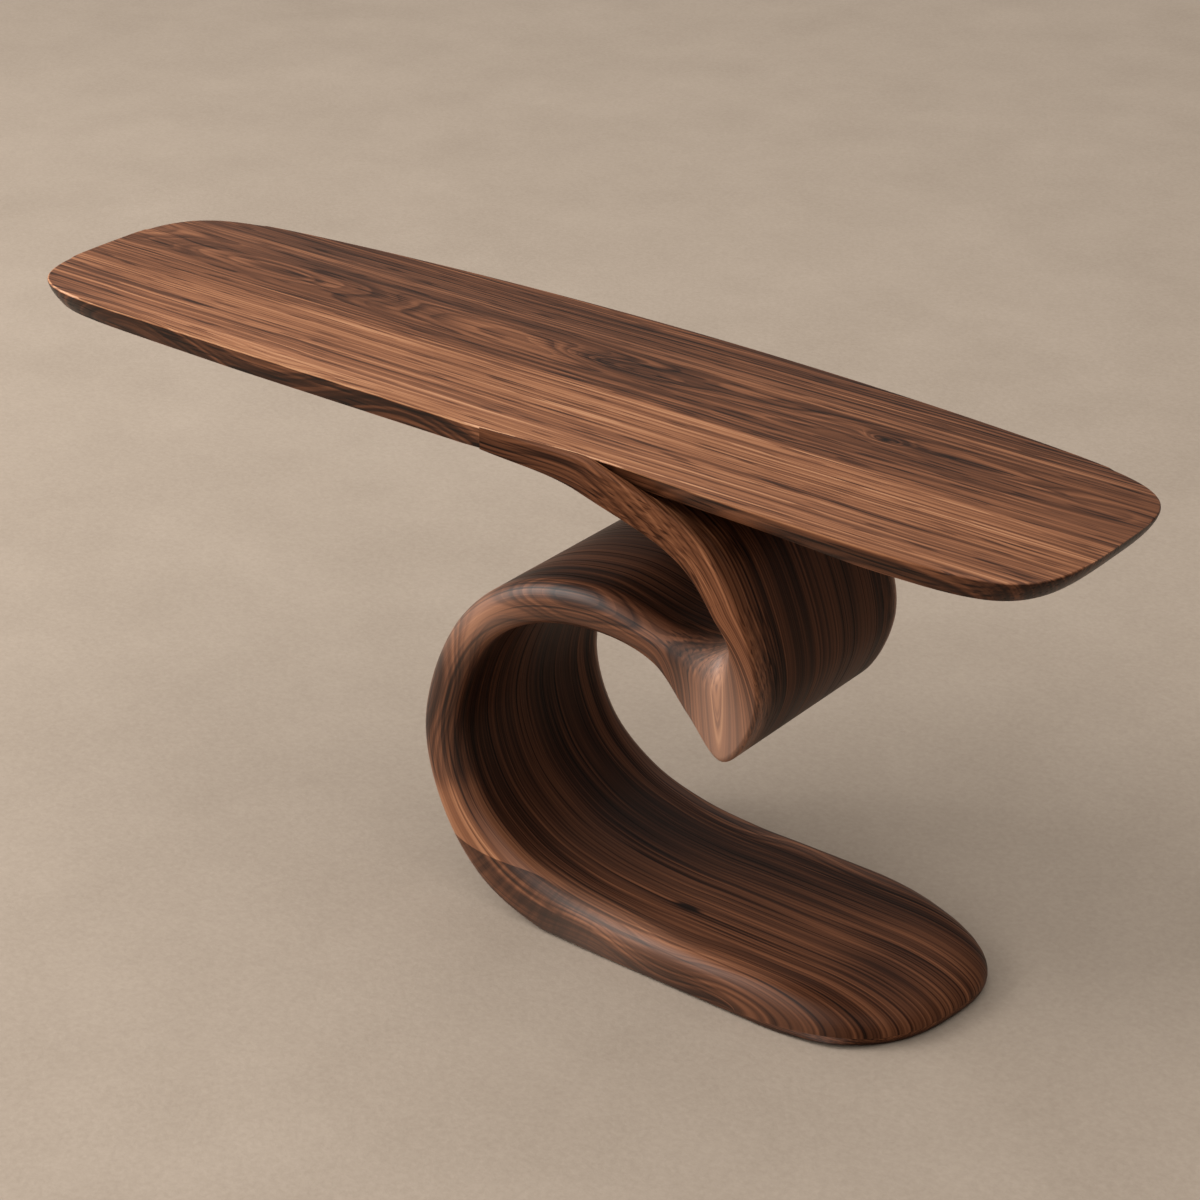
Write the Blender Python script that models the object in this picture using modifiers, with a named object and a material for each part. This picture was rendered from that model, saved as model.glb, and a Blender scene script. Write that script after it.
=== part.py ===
"""Curved console table: a solid walnut top carried by one folded ribbon of laminated walnut.

The ribbon leaves the underside of the top, folds under itself, arches back over a loop and rolls down into
a long foot. It is glued up from staves that lie side by side, and each stave is made of shaped lengths whose
end joints are staggered like bricks. X runs along the top, Y from front to back and Z up from the floor.
"""

import math
from typing import NamedTuple

import bmesh
import bpy
from mathutils import Vector

# Fits
GLUE_LINE = 0.0003          # gap between two glued faces
DOWEL_FIT = 0.0003          # radial gap round a dowel, and the gap at its ends

# Top
TOP_LENGTH = 1.700
TOP_HALF_WIDTH = 0.218
TOP_THICKNESS = 0.030
UNDERSIDE = 0.730           # height of the underside of the top above the floor
BACK_EDGE_RADIUS = 5.600    # the back edge is one long arc
END_SQUARENESS = 18.0       # exponents of the rounded ends: along the length and across the width
FRONT_SQUARENESS = 3.6
BACK_LEFT_SQUARENESS = 2.7
BACK_RIGHT_SQUARENESS = 3.6
END_UNDERCUT = 0.024        # how far the lower arris lies inside the upper one
BACK_UNDERCUT = 0.022
FRONT_UNDERCUT_END = 0.010  # at the left end of the front edge
FRONT_UNDERCUT_LEFT = 0.001
FRONT_UNDERCUT_RIGHT = 0.016
TAPER_END = -0.400          # the front undercut has run down to its left value here
EDGE_STEPS = 28             # points along each long edge
SEAMS = (-0.122, -0.022, 0.105)
BOARD_NAMES = ("board_front", "board_middle_front", "board_middle_back", "board_back")

# Slit where the ribbon's front face parts from the front edge of the top
RAMP_START = 0.020          # the front edge starts to step back here
SPLIT = 0.190               # end of the slit
RECESS_END = 0.450          # the front edge has come forward again here
LIP_WIDTH = 0.014           # the lip of the ribbon that lies in front of the top
RECESS = 0.006              # what is left of the step at the right
LIP_END = 0.400             # the lip has died out here
LIP_HOLLOW = 0.008          # how far the back of the lip leans, past the slit
FLARE_START = 0.210         # the front face runs back from the top's edge to the ribbon's
FLARE_END = 0.420

# Splines in the seams of the top
SPLINE_BED = 0.0155         # height of a spline above the underside
SPLINE_THICKNESS = 0.006
SPLINE_WIDTH = 0.018
SPLINE_LEFT = -0.740
SPLINE_RIGHT = 0.740

# Ribbon
RIBBON_FRONT = -0.185
STAVE_WIDTH = 0.069
STAVE_COUNT = 5
SPAN_STEPS = 3              # rows of the mesh between two stations
RIM_STEPS = 4               # facets round a rounded rim
FACE_SHARES = (0.4, 0.7, 0.88)  # points between the inside of an outer stave and its rim
FOOT_BASE = 0.002           # the foot stands on glides, this far above the floor
FOOT_TOP = 0.060
GRID = 0.001                # pitch of the grid that the stations below are drawn on
ROOT_START = 0.030
ROOT_THICKNESS = 0.0035     # thickness of the feathered start of the neck
NECK_TOP = UNDERSIDE - GLUE_LINE    # glued face of the neck under the top


class Station(NamedTuple):
    """A cross-section of the ribbon: a point on each side, and how far the rims are rounded.

    The outer rim is rounded alike at the front and at the back, the inner one is not. In the fork of the fold
    the outer rounding reaches further across than it drops, which makes a soft saddle.
    """

    outer_x: float
    outer_z: float
    inner_x: float
    inner_z: float
    outer_rim: float
    front_rim: float
    back_rim: float
    saddle: float = 0.0


STATIONS = (
    Station(ROOT_START, UNDERSIDE - ROOT_THICKNESS, ROOT_START, NECK_TOP, GRID, 0.4 * GRID, GRID),
    Station(SPLIT, UNDERSIDE - 17 * GRID, SPLIT + 15 * GRID, NECK_TOP, 3 * GRID, 3 * GRID, 3 * GRID),
    Station(321 * GRID, UNDERSIDE - 88 * GRID, 362 * GRID, NECK_TOP - 52 * GRID, 5 * GRID, 5 * GRID, 16 * GRID),
    Station(374 * GRID, 567 * GRID, 424 * GRID, 587 * GRID, 8 * GRID, 6 * GRID, 30 * GRID),
    Station(389 * GRID, 545 * GRID, 449 * GRID, 466 * GRID, 24 * GRID, 7 * GRID, 40 * GRID, 10 * GRID),
    Station(380 * GRID, 532 * GRID, 395 * GRID, 375 * GRID, 60 * GRID, 12 * GRID, 32 * GRID, 6 * GRID),
    Station(360 * GRID, 528 * GRID, 339 * GRID, 424 * GRID, 52 * GRID, 16 * GRID, 22 * GRID, 14 * GRID),
    Station(300 * GRID, 534 * GRID, 283 * GRID, 480 * GRID, 28 * GRID, 16 * GRID, 18 * GRID, 22 * GRID),
    Station(180 * GRID, 555 * GRID, 185 * GRID, 494 * GRID, 27 * GRID, 22 * GRID, 24 * GRID, 4 * GRID),
    Station(37 * GRID, 519 * GRID, 70 * GRID, 468 * GRID, 27 * GRID, 22 * GRID, 25 * GRID),
    Station(-63 * GRID, 427 * GRID, -12 * GRID, 405 * GRID, 26 * GRID, 22 * GRID, 26 * GRID),
    Station(-120 * GRID, 262 * GRID, -60 * GRID, 270 * GRID, 25 * GRID, 22 * GRID, 26 * GRID),
    Station(-90 * GRID, 130 * GRID, -30 * GRID, 165 * GRID, 24 * GRID, 22 * GRID, 22 * GRID),
    Station(-15 * GRID, 40 * GRID, 40 * GRID, 101 * GRID, 18 * GRID, 24 * GRID, 16 * GRID),
    Station(95 * GRID, FOOT_BASE, 125 * GRID, FOOT_TOP + 11 * GRID, 8 * GRID, 26 * GRID, 12 * GRID),
    Station(220 * GRID, FOOT_BASE, 225 * GRID, FOOT_TOP, 4 * GRID, 26 * GRID, 10 * GRID),
    Station(300 * GRID, FOOT_BASE, 300 * GRID, FOOT_TOP, 4 * GRID, 26 * GRID, 10 * GRID),
)
LENGTH_NAMES = ("neck", "fold", "arch", "back", "heel", "foot")
END_JOINTS = (2.7, 6.5, 9.3, 11.5, 14.6)    # where the lengths meet, in stations
STAGGER = 0.45                              # shift of the joints on every other stave

# Toe, rounded in plan and rolled down to the floor
TOE_START = 0.450           # the plan starts to round here
TOE_LENGTH = 0.212
TOE_SQUARENESS = 2.6
TOE_SKEW = 0.022            # the back of the toe reaches further than its front
TOE_ROLL = 0.130
TOE_EDGE = 0.012            # upright edge left at the floor
TOE_STEPS = 7

# Dowels
CROSS_DOWEL_RADIUS = 0.006
CROSS_DOWEL_COVER = 0.020   # wood left outside the ends of a cross dowel
CROSS_DOWEL_STATIONS = (2.1, 4.8, 7.6, 8.9, 10.6, 12.6, 13.9, 15.6)
ROOT_DOWEL_RADIUS = 0.004
ROOT_DOWEL_X = 0.165
ROOT_DOWEL_IN_TOP = 0.0115
ROOT_DOWEL_IN_NECK = 0.0085
ROUND_SIDES = 16

# Ballast plate and its screws
PLATE_LEFT = 0.310
PLATE_RIGHT = 0.570
PLATE_THICKNESS = 0.024
PLATE_SIDE_WALL = 0.008     # wood left beside the plate
SCREW_INSET = 0.035         # from the ends of the plate
SCREW_RADIUS = 0.003
SCREW_HEAD_RADIUS = 0.007
SCREW_HEAD_HEIGHT = 0.005
SCREW_HEAD_RIM = 0.0006     # upright rim of the head
SCREW_GRIP = 0.014          # length of the screw above the plate

# Glides
GLIDE_RADIUS = 0.018
GLIDE_SEAT = 0.0025         # depth of a glide's seat in the foot
HEEL_GLIDE_X = 0.125
TOE_GLIDE_X = 0.490

TOP = UNDERSIDE + TOP_THICKNESS
RIBBON_BACK = RIBBON_FRONT + STAVE_COUNT * STAVE_WIDTH


def smooth_step(low, high, value):
    """Rise smoothly from 0 at low to 1 at high."""
    share = min(max((value - low) / (high - low), 0.0), 1.0)
    return share * share * (3.0 - 2.0 * share)


def ramp(low, high, value):
    """Rise in a straight line from 0 at low to 1 at high."""
    return min(max((value - low) / (high - low), 0.0), 1.0)


def blend(first, second, share):
    """Mix two numbers or vectors."""
    return first + (second - first) * share


# Scene and objects

def clear_scene():
    """Remove every object of the scene that the script starts in."""
    for old in list(bpy.data.objects):
        bpy.data.objects.remove(old, do_unlink=True)


def make_collection(name):
    """Return a new collection linked to the scene."""
    collection = bpy.data.collections.new(name)
    bpy.context.scene.collection.children.link(collection)
    return collection


def make_material(name, colour, roughness, metallic=0.0):
    """Return a Principled material."""
    material = bpy.data.materials.new(name)
    material.use_nodes = True
    shader = material.node_tree.nodes["Principled BSDF"]
    shader.inputs["Base Color"].default_value = (*colour, 1.0)
    shader.inputs["Roughness"].default_value = roughness
    shader.inputs["Metallic"].default_value = metallic
    return material


def add_object(name, shape, collection, location=(0.0, 0.0, 0.0)):
    """Turn a bmesh into an object and free the bmesh."""
    mesh = bpy.data.meshes.new(name)
    bmesh.ops.recalc_face_normals(shape, faces=shape.faces)
    shape.to_mesh(mesh)
    shape.free()
    thing = bpy.data.objects.new(name, mesh)
    thing.location = location
    collection.objects.link(thing)
    return thing


def add_part(name, shape, material, location=(0.0, 0.0, 0.0)):
    """Add a piece of the table, parented to the table's empty."""
    part = add_object(name, shape, table, location)
    part.data.materials.append(material)
    part.data.shade_smooth()
    part.data.set_sharp_from_angle(angle=math.radians(30.0))
    part.parent = root
    return part


def add_cutter(name, shape, location=(0.0, 0.0, 0.0)):
    """Add a shape that only cuts others."""
    cutter = add_object(name, shape, cutters, location)
    cutter.hide_render = True
    cutter.display_type = "WIRE"
    return cutter


def cut(part, cutter):
    """Cut one shape out of a piece."""
    modifier = part.modifiers.new(cutter.name, "BOOLEAN")
    modifier.operation = "DIFFERENCE"
    modifier.solver = "EXACT"
    modifier.object = cutter


def rod(radius, length, along_y=False):
    """Return a cylinder about the origin, standing or lying along Y."""
    shape = bmesh.new()
    bmesh.ops.create_cone(
        shape, cap_ends=True, segments=ROUND_SIDES, radius1=radius, radius2=radius, depth=length
    )
    if along_y:
        turn = Vector((0.0, 1.0, 0.0)).to_track_quat("Z", "X").to_matrix()
        bmesh.ops.rotate(shape, verts=shape.verts, matrix=turn)
    return shape


def block(low, high):
    """Return a box between two corners."""
    shape = bmesh.new()
    bmesh.ops.create_cube(shape, size=1.0)
    size = Vector(high) - Vector(low)
    bmesh.ops.scale(shape, verts=shape.verts, vec=size)
    bmesh.ops.translate(shape, verts=shape.verts, vec=(Vector(low) + Vector(high)) / 2.0)
    return shape


# Top

def front_edge(x):
    """Distance of the upper front arris from the middle line: it steps back where the ribbon's lip lies."""
    stepped = LIP_WIDTH * ramp(RAMP_START, SPLIT, x)
    regained = (LIP_WIDTH - RECESS) * ramp(SPLIT, RECESS_END, x)
    return TOP_HALF_WIDTH - stepped + regained


def front_undercut(x):
    """How far the lower front arris lies inside the upper one."""
    left = blend(FRONT_UNDERCUT_END, FRONT_UNDERCUT_LEFT, ramp(-TOP_LENGTH / 2.0, TAPER_END, x))
    return blend(left, FRONT_UNDERCUT_RIGHT, ramp(RAMP_START, SPLIT, x))


def edge_places():
    """Places along the length, from -1 to 1, dense at the rounded ends."""
    quarter = math.pi / 2.0
    steps = [2.0 * step / EDGE_STEPS - 1.0 for step in range(EDGE_STEPS + 1)]
    return [math.sin(quarter * math.sin(quarter * step)) for step in steps]


def top_outline(undercut):
    """Points round the top: the upper arris with undercut 0, the lower one with undercut 1."""
    half = TOP_LENGTH / 2.0 - undercut * END_UNDERCUT
    corners = [place / (TOP_LENGTH / 2.0) for place in (RAMP_START, SPLIT, RECESS_END)]
    points = []
    for place in sorted(set(edge_places() + corners)):
        x = half * place if place not in corners else place * TOP_LENGTH / 2.0
        narrowing = max(1.0 - abs(place) ** END_SQUARENESS, 0.0) ** (1.0 / FRONT_SQUARENESS)
        points.append((x, -(front_edge(x) - undercut * front_undercut(x)) * narrowing))
    for place in edge_places()[-2:0:-1]:
        x = half * place
        squareness = BACK_LEFT_SQUARENESS if place < 0.0 else BACK_RIGHT_SQUARENESS
        narrowing = (1.0 - abs(place) ** END_SQUARENESS) ** (1.0 / squareness)
        back = TOP_HALF_WIDTH - x * x / (2.0 * BACK_EDGE_RADIUS) - undercut * BACK_UNDERCUT
        points.append((x, back * narrowing))
    return points


def slab():
    """Return the whole top as one shape."""
    shape = bmesh.new()
    upper = [shape.verts.new((x, y, TOP)) for x, y in top_outline(0.0)]
    lower = [shape.verts.new((x, y, UNDERSIDE)) for x, y in top_outline(1.0)]
    shape.faces.new(upper)
    shape.faces.new(list(reversed(lower)))
    for place in range(len(upper)):
        ahead = (place + 1) % len(upper)
        shape.faces.new((upper[place], lower[place], lower[ahead], upper[ahead]))
    return shape


def saw(shape, y, keep_front):
    """Saw a shape along its length at y and close the cut."""
    geometry = shape.verts[:] + shape.edges[:] + shape.faces[:]
    normal = (0.0, 1.0 if keep_front else -1.0, 0.0)
    sawn = bmesh.ops.bisect_plane(
        shape, geom=geometry, plane_co=(0.0, y, 0.0), plane_no=normal, clear_outer=True
    )
    rim = [edge for edge in sawn["geom_cut"] if isinstance(edge, bmesh.types.BMEdge)]
    bmesh.ops.edgenet_fill(shape, edges=rim)


def make_top():
    """Make the boards of the top, and the splines in their seams."""
    boards = []
    fronts = (None, *SEAMS)
    backs = (*SEAMS, None)
    for name, front, back in zip(BOARD_NAMES, fronts, backs):
        shape = slab()
        if front is not None:
            saw(shape, front + GLUE_LINE / 2.0, keep_front=False)
        if back is not None:
            saw(shape, back - GLUE_LINE / 2.0, keep_front=True)
        boards.append(add_part(name, shape, walnut_top))
    floor = UNDERSIDE + SPLINE_BED
    for place, (name, y) in enumerate(zip(("front", "middle", "back"), SEAMS)):
        low = Vector((SPLINE_LEFT, y - SPLINE_WIDTH / 2.0, floor))
        high = Vector((SPLINE_RIGHT, y + SPLINE_WIDTH / 2.0, floor + SPLINE_THICKNESS))
        fit = Vector((GLUE_LINE, GLUE_LINE, GLUE_LINE))
        add_part("spline_" + name, block(low, high), beech)
        groove = add_cutter("groove_" + name, block(low - fit, high + fit))
        cut(boards[place], groove)
        cut(boards[place + 1], groove)
    return boards


# Ribbon

OUTER_SIDE = [Vector((station.outer_x, 0.0, station.outer_z)) for station in STATIONS]
INNER_SIDE = [Vector((station.inner_x, 0.0, station.inner_z)) for station in STATIONS]


def curve_point(points, place):
    """Return the point at a place, counted in points, on a smooth curve through all of them."""
    index = min(int(place), len(points) - 2)
    first, second = points[index], points[index + 1]
    before = points[index - 1] if index > 0 else 2.0 * first - second
    after = points[index + 2] if index + 2 < len(points) else 2.0 * second - first
    chords = ((before, first), (first, second), (second, after))
    spans = [math.sqrt((end - start).length) for start, end in chords]
    here = (second - first) / spans[1]
    leave = (first - before) / spans[0] - (second - before) / (spans[0] + spans[1]) + here
    arrive = (after - second) / spans[2] - (after - first) / (spans[1] + spans[2]) + here
    share = place - index
    square, cube = share ** 2, share ** 3
    point = first * (2.0 * cube - 3.0 * square + 1.0) + second * (3.0 * square - 2.0 * cube)
    point += spans[1] * (leave * (cube - 2.0 * square + share) + arrive * (cube - square))
    return point


def section(place, shift=0.0):
    """Return the two side points at a place along the ribbon, moved along it, and the way across it."""
    outer = curve_point(OUTER_SIDE, place)
    inner = curve_point(INNER_SIDE, place)
    outer.z = max(outer.z, FOOT_BASE)
    inner.z = min(inner.z, NECK_TOP)
    across = (inner - outer).normalized()
    along = Vector((across.z, 0.0, -across.x))
    return outer + along * shift, inner + along * shift, across


def rims(place, stave):
    """Return the reach and the drop of a stave's outer and inner rims at a place along the ribbon."""
    index = min(int(place), len(STATIONS) - 2)
    first, second = STATIONS[index], STATIONS[index + 1]
    share = place - index
    outer_rim = blend(first.outer_rim, second.outer_rim, share)
    inner_rim = blend(first.back_rim, second.back_rim, share)
    if stave == 0:
        inner_rim = blend(first.front_rim, second.front_rim, share)
    reach = outer_rim + blend(first.saddle, second.saddle, share)
    return (reach, outer_rim), (inner_rim, inner_rim)


def stave_sides(stave):
    """Return the front and the back face of a stave."""
    front = RIBBON_FRONT + stave * STAVE_WIDTH
    back = front + STAVE_WIDTH
    if stave > 0:
        front += GLUE_LINE / 2.0
    if stave < STAVE_COUNT - 1:
        back -= GLUE_LINE / 2.0
    return front, back


def stave_middle(stave):
    """Return the middle plane of a stave."""
    return RIBBON_FRONT + (stave + 0.5) * STAVE_WIDTH


def rounding(face, rim, inwards):
    """Points of a rounded rim, from inside to the face: their Y and how far they drop."""
    reach, drop = rim
    turns = [math.pi / 2.0 * step / RIM_STEPS for step in range(RIM_STEPS + 1)]
    return [
        (face + inwards * reach * (1.0 - math.sin(turn)), drop * (1.0 - math.cos(turn)))
        for turn in turns
    ]


def stave_profile(stave, rim):
    """Points across a stave, with the free side of the first and the last one rounded."""
    front, back = stave_sides(stave)
    if 0 < stave < STAVE_COUNT - 1:
        return [(front, 0.0), (stave_middle(stave), 0.0), (back, 0.0)]
    inside, rounded = (back, rounding(front, rim, 1.0)) if stave == 0 else (front, rounding(back, rim, -1.0))
    flat = [(blend(inside, rounded[0][0], share), 0.0) for share in (0.0, *FACE_SHARES)]
    return flat + rounded


def at_depth(point, y):
    """Move a point of the side view to its depth."""
    return Vector((point.x, y, point.z))


def ring(place, stave, shift=0.0):
    """Return the section of a stave as pairs of points: one on the outer side and one on the inner."""
    outer, inner, across = section(place, shift)
    outer_rim, inner_rim = rims(place, stave)
    outer_row = [at_depth(outer + across * drop, y) for y, drop in stave_profile(stave, outer_rim)]
    inner_row = [at_depth(inner - across * drop, y) for y, drop in stave_profile(stave, inner_rim)]
    return list(zip(outer_row, inner_row))


def lip_ring(place, shift=0.0):
    """Return the section of the front stave's neck, whose lip rises in front of the top."""
    outer, inner, across = section(place, shift)
    outer_rim, inner_rim = rims(place, 0)
    x = inner.x
    face = blend(TOP_HALF_WIDTH, -RIBBON_FRONT, smooth_step(FLARE_START, FLARE_END, x))
    crest = inner.copy()
    if x <= SPLIT:
        crest.z = TOP
        lip_back = front_edge(x) + GLUE_LINE
        hollow = lip_back - front_undercut(x)
    else:
        crest.z += (TOP - NECK_TOP) * (1.0 - ramp(SPLIT, LIP_END, x))
        lip_back = face - LIP_WIDTH + GLUE_LINE
        hollow = lip_back - LIP_HOLLOW
    inside = stave_sides(0)[1]
    pairs = [(at_depth(outer, y), at_depth(inner, y)) for y in (inside, -hollow)]
    pairs.append((at_depth(outer, -lip_back), at_depth(crest, -lip_back)))
    for (low_y, low_drop), (high_y, high_drop) in zip(
        rounding(-face, outer_rim, 1.0), rounding(-face, inner_rim, 1.0)
    ):
        low = outer + across * low_drop
        high = crest - across * high_drop
        pairs.append((at_depth(low, low_y), at_depth(high, high_y)))
    return pairs


def toe_reach(y):
    """Return how far the toe reaches along X at a depth."""
    middle = (RIBBON_FRONT + RIBBON_BACK) / 2.0
    side = min(max((y - middle) / (RIBBON_BACK - middle), -1.0), 1.0)
    round_part = (1.0 - abs(side) ** TOE_SQUARENESS) ** (1.0 / TOE_SQUARENESS)
    return TOE_START + TOE_LENGTH * round_part + TOE_SKEW * side


def toe_ring(share, stave):
    """Return a section of the toe at a share of the way to its end."""
    start = STATIONS[-1].outer_x
    outer_rim, inner_rim = rims(len(STATIONS) - 1, stave)
    height = FOOT_TOP - FOOT_BASE
    pairs = []
    for (low_y, low_drop), (high_y, high_drop) in zip(
        stave_profile(stave, outer_rim), stave_profile(stave, inner_rim)
    ):
        low_x = blend(start, toe_reach(low_y), share)
        high_x = blend(start, toe_reach(high_y), share)
        rolled = max(1.0 - (toe_reach(high_y) - high_x) / TOE_ROLL, 0.0)
        rise = TOE_EDGE + (height - TOE_EDGE) * math.sqrt(1.0 - rolled ** 2)
        high_z = FOOT_BASE + rise - high_drop * rise / height
        pairs.append((Vector((low_x, low_y, FOOT_BASE + low_drop)), Vector((high_x, high_y, high_z))))
    return pairs


def loft(rings):
    """Return a closed shape through sections that are rows of paired points."""
    shape = bmesh.new()
    outer = [[shape.verts.new(pair[0]) for pair in row] for row in rings]
    inner = [[shape.verts.new(pair[1]) for pair in row] for row in rings]
    steps = range(len(rings[0]) - 1)
    for row in range(len(rings) - 1):
        for side in (outer, inner):
            here, ahead = side[row], side[row + 1]
            for step in steps:
                shape.faces.new((here[step], here[step + 1], ahead[step + 1], ahead[step]))
        for edge in (0, -1):
            shape.faces.new((outer[row][edge], outer[row + 1][edge], inner[row + 1][edge], inner[row][edge]))
    for row in (0, -1):
        for step in steps:
            shape.faces.new((outer[row][step], outer[row][step + 1], inner[row][step + 1], inner[row][step]))
    return shape


def end_joints(stave):
    """Return where the lengths of a stave meet."""
    shift = STAGGER if stave % 2 else 0.0
    return [joint + shift for joint in END_JOINTS]


def length_at(stave, place):
    """Return the name of the stave length that holds a place along the ribbon."""
    return LENGTH_NAMES[sum(place > joint for joint in end_joints(stave))]


def rows_between(start, end):
    """Places of the mesh rows from one end of a length to the other."""
    inside = [step / SPAN_STEPS for step in range((len(STATIONS) - 1) * SPAN_STEPS + 1)]
    clear = 0.4 / SPAN_STEPS
    return [start] + [place for place in inside if start + clear < place < end - clear] + [end]


def length_rings(stave, name, start, end):
    """Return the sections of one length of a stave, drawn back by half a glue line at each joint."""
    rings = []
    for place in rows_between(start, end):
        shift = 0.0
        if place == start and name != LENGTH_NAMES[0]:
            shift = GLUE_LINE / 2.0
        if place == end and name != LENGTH_NAMES[-1]:
            shift = -GLUE_LINE / 2.0
        if stave == 0 and name == LENGTH_NAMES[0]:
            rings.append(lip_ring(place, shift))
        else:
            rings.append(ring(place, stave, shift))
    if name == LENGTH_NAMES[-1]:
        turns = [math.pi / 2.0 * step / TOE_STEPS for step in range(1, TOE_STEPS + 1)]
        rings += [toe_ring(math.sin(turn), stave) for turn in turns]
    return rings


def make_staves():
    """Make every length of every stave, and return them by stave and length name."""
    staves = {}
    for stave in range(STAVE_COUNT):
        limits = [0.0, *end_joints(stave), len(STATIONS) - 1.0]
        for name, start, end in zip(LENGTH_NAMES, limits, limits[1:]):
            label = "stave_%d_%s" % (stave + 1, name)
            shape = loft(length_rings(stave, name, start, end))
            staves[stave, name] = add_part(label, shape, walnut_staves[stave % 2])
    return staves


# Dowels, ballast and glides

def make_cross_dowels(staves):
    """Put the dowels that line up the staves through the stack, blind in the outer staves."""
    length = RIBBON_BACK - RIBBON_FRONT - 2.0 * CROSS_DOWEL_COVER
    middle = (RIBBON_FRONT + RIBBON_BACK) / 2.0
    for number, place in enumerate(CROSS_DOWEL_STATIONS, start=1):
        outer, inner, _ = section(place)
        spot = at_depth((outer + inner) / 2.0, middle)
        label = "cross_dowel_%d" % number
        add_part(label, rod(CROSS_DOWEL_RADIUS, length, along_y=True), beech, spot)
        hole = rod(CROSS_DOWEL_RADIUS + DOWEL_FIT, length + 2.0 * DOWEL_FIT, along_y=True)
        cutter = add_cutter(label + "_hole", hole, spot)
        for stave in range(STAVE_COUNT):
            cut(staves[stave, length_at(stave, place)], cutter)


def make_root_dowels(staves, boards):
    """Put the short dowels that pin the neck to the underside of the top."""
    length = ROOT_DOWEL_IN_TOP + ROOT_DOWEL_IN_NECK
    height = UNDERSIDE + (ROOT_DOWEL_IN_TOP - ROOT_DOWEL_IN_NECK) / 2.0
    wide = ROOT_DOWEL_RADIUS + DOWEL_FIT
    for stave in range(STAVE_COUNT):
        spot = Vector((ROOT_DOWEL_X, stave_middle(stave), height))
        label = "root_dowel_%d" % (stave + 1)
        add_part(label, rod(ROOT_DOWEL_RADIUS, length), beech, spot)
        cutter = add_cutter(label + "_hole", rod(wide, length + 2.0 * DOWEL_FIT), spot)
        cut(staves[stave, "neck"], cutter)
        for board, front, back in zip(boards, (-TOP_HALF_WIDTH, *SEAMS), (*SEAMS, TOP_HALF_WIDTH)):
            if front < spot.y + wide and spot.y - wide < back:
                cut(board, cutter)


def turned_screw(name, collection, fit, below):
    """Return a countersunk screw, head down, turned from its outline, widened by a fit and drawn down."""
    head = SCREW_HEAD_RADIUS + fit
    shank = SCREW_RADIUS + fit
    tip = PLATE_THICKNESS + SCREW_GRIP + fit
    neck = SCREW_HEAD_HEIGHT + fit
    rim = SCREW_HEAD_RIM + fit
    outline = ((0.0, tip), (shank, tip - shank), (shank, neck), (head, rim), (head, -below), (0.0, -below))
    shape = bmesh.new()
    points = [shape.verts.new((radius, 0.0, height)) for radius, height in outline]
    for start, end in zip(points, points[1:]):
        shape.edges.new((start, end))
    screw = add_object(name, shape, collection)
    turning = screw.modifiers.new("turned", "SCREW")
    turning.steps = ROUND_SIDES
    turning.render_steps = ROUND_SIDES
    turning.use_merge_vertices = True
    turning.merge_threshold = 0.00001
    return screw


def make_ballast(staves):
    """Let the ballast plate into the underside of the foot and screw it there."""
    inner_staves = range(1, STAVE_COUNT - 1)
    front = stave_sides(inner_staves[0])[0] + PLATE_SIDE_WALL
    back = stave_sides(inner_staves[-1])[1] - PLATE_SIDE_WALL
    low = Vector((PLATE_LEFT, front, FOOT_BASE))
    high = Vector((PLATE_RIGHT, back, FOOT_BASE + PLATE_THICKNESS))
    plate = add_part("ballast_plate", block(low, high), steel)
    fit = Vector((GLUE_LINE, GLUE_LINE, GLUE_LINE))
    below = Vector((0.0, 0.0, FOOT_BASE))
    pocket = add_cutter("ballast_pocket", block(low - fit - below, high + fit))
    for stave in inner_staves:
        cut(staves[stave, "foot"], pocket)
    number = 0
    for x in (PLATE_LEFT + SCREW_INSET, PLATE_RIGHT - SCREW_INSET):
        for stave in (inner_staves[0], inner_staves[-1]):
            number += 1
            label = "ballast_screw_%d" % number
            spot = (x, stave_middle(stave), FOOT_BASE + GLUE_LINE)
            screw = turned_screw(label, table, 0.0, 0.0)
            screw.location = spot
            screw.data.materials.append(steel)
            screw.parent = root
            hole = turned_screw(label + "_hole", cutters, DOWEL_FIT, SCREW_HEAD_HEIGHT)
            hole.location = spot
            hole.hide_render = True
            hole.display_type = "WIRE"
            cut(plate, hole)
            cut(staves[stave, "foot"], hole)


def make_glides(staves):
    """Set the felt glides into the underside of the outer staves."""
    thickness = FOOT_BASE + GLIDE_SEAT - GLUE_LINE
    for end, x in (("heel", HEEL_GLIDE_X), ("toe", TOE_GLIDE_X)):
        for side, stave in (("front", 0), ("back", STAVE_COUNT - 1)):
            label = "glide_%s_%s" % (end, side)
            y = stave_middle(stave)
            add_part(label, rod(GLIDE_RADIUS, thickness), felt, (x, y, thickness / 2.0))
            hole = rod(GLIDE_RADIUS + GLUE_LINE, 2.0 * GLIDE_SEAT)
            cutter = add_cutter(label + "_seat", hole, (x, y, FOOT_BASE))
            cut(staves[stave, "heel" if end == "heel" else "foot"], cutter)


clear_scene()
table = make_collection("curved_console_table")
cutters = make_collection("cutters")
root = bpy.data.objects.new("table_origin", None)
table.objects.link(root)

walnut_top = make_material("walnut_top", (0.22, 0.10, 0.06), 0.45)
walnut_staves = (
    make_material("walnut_stave_dark", (0.09, 0.04, 0.022), 0.42),
    make_material("walnut_stave_light", (0.13, 0.06, 0.034), 0.42),
)
beech = make_material("beech", (0.60, 0.42, 0.26), 0.60)
steel = make_material("bright_steel", (0.55, 0.55, 0.56), 0.35, 1.0)
felt = make_material("brown_felt", (0.05, 0.035, 0.028), 0.95)

top_boards = make_top()
ribbon = make_staves()
make_cross_dowels(ribbon)
make_root_dowels(ribbon, top_boards)
make_ballast(ribbon)
make_glides(ribbon)
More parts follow.
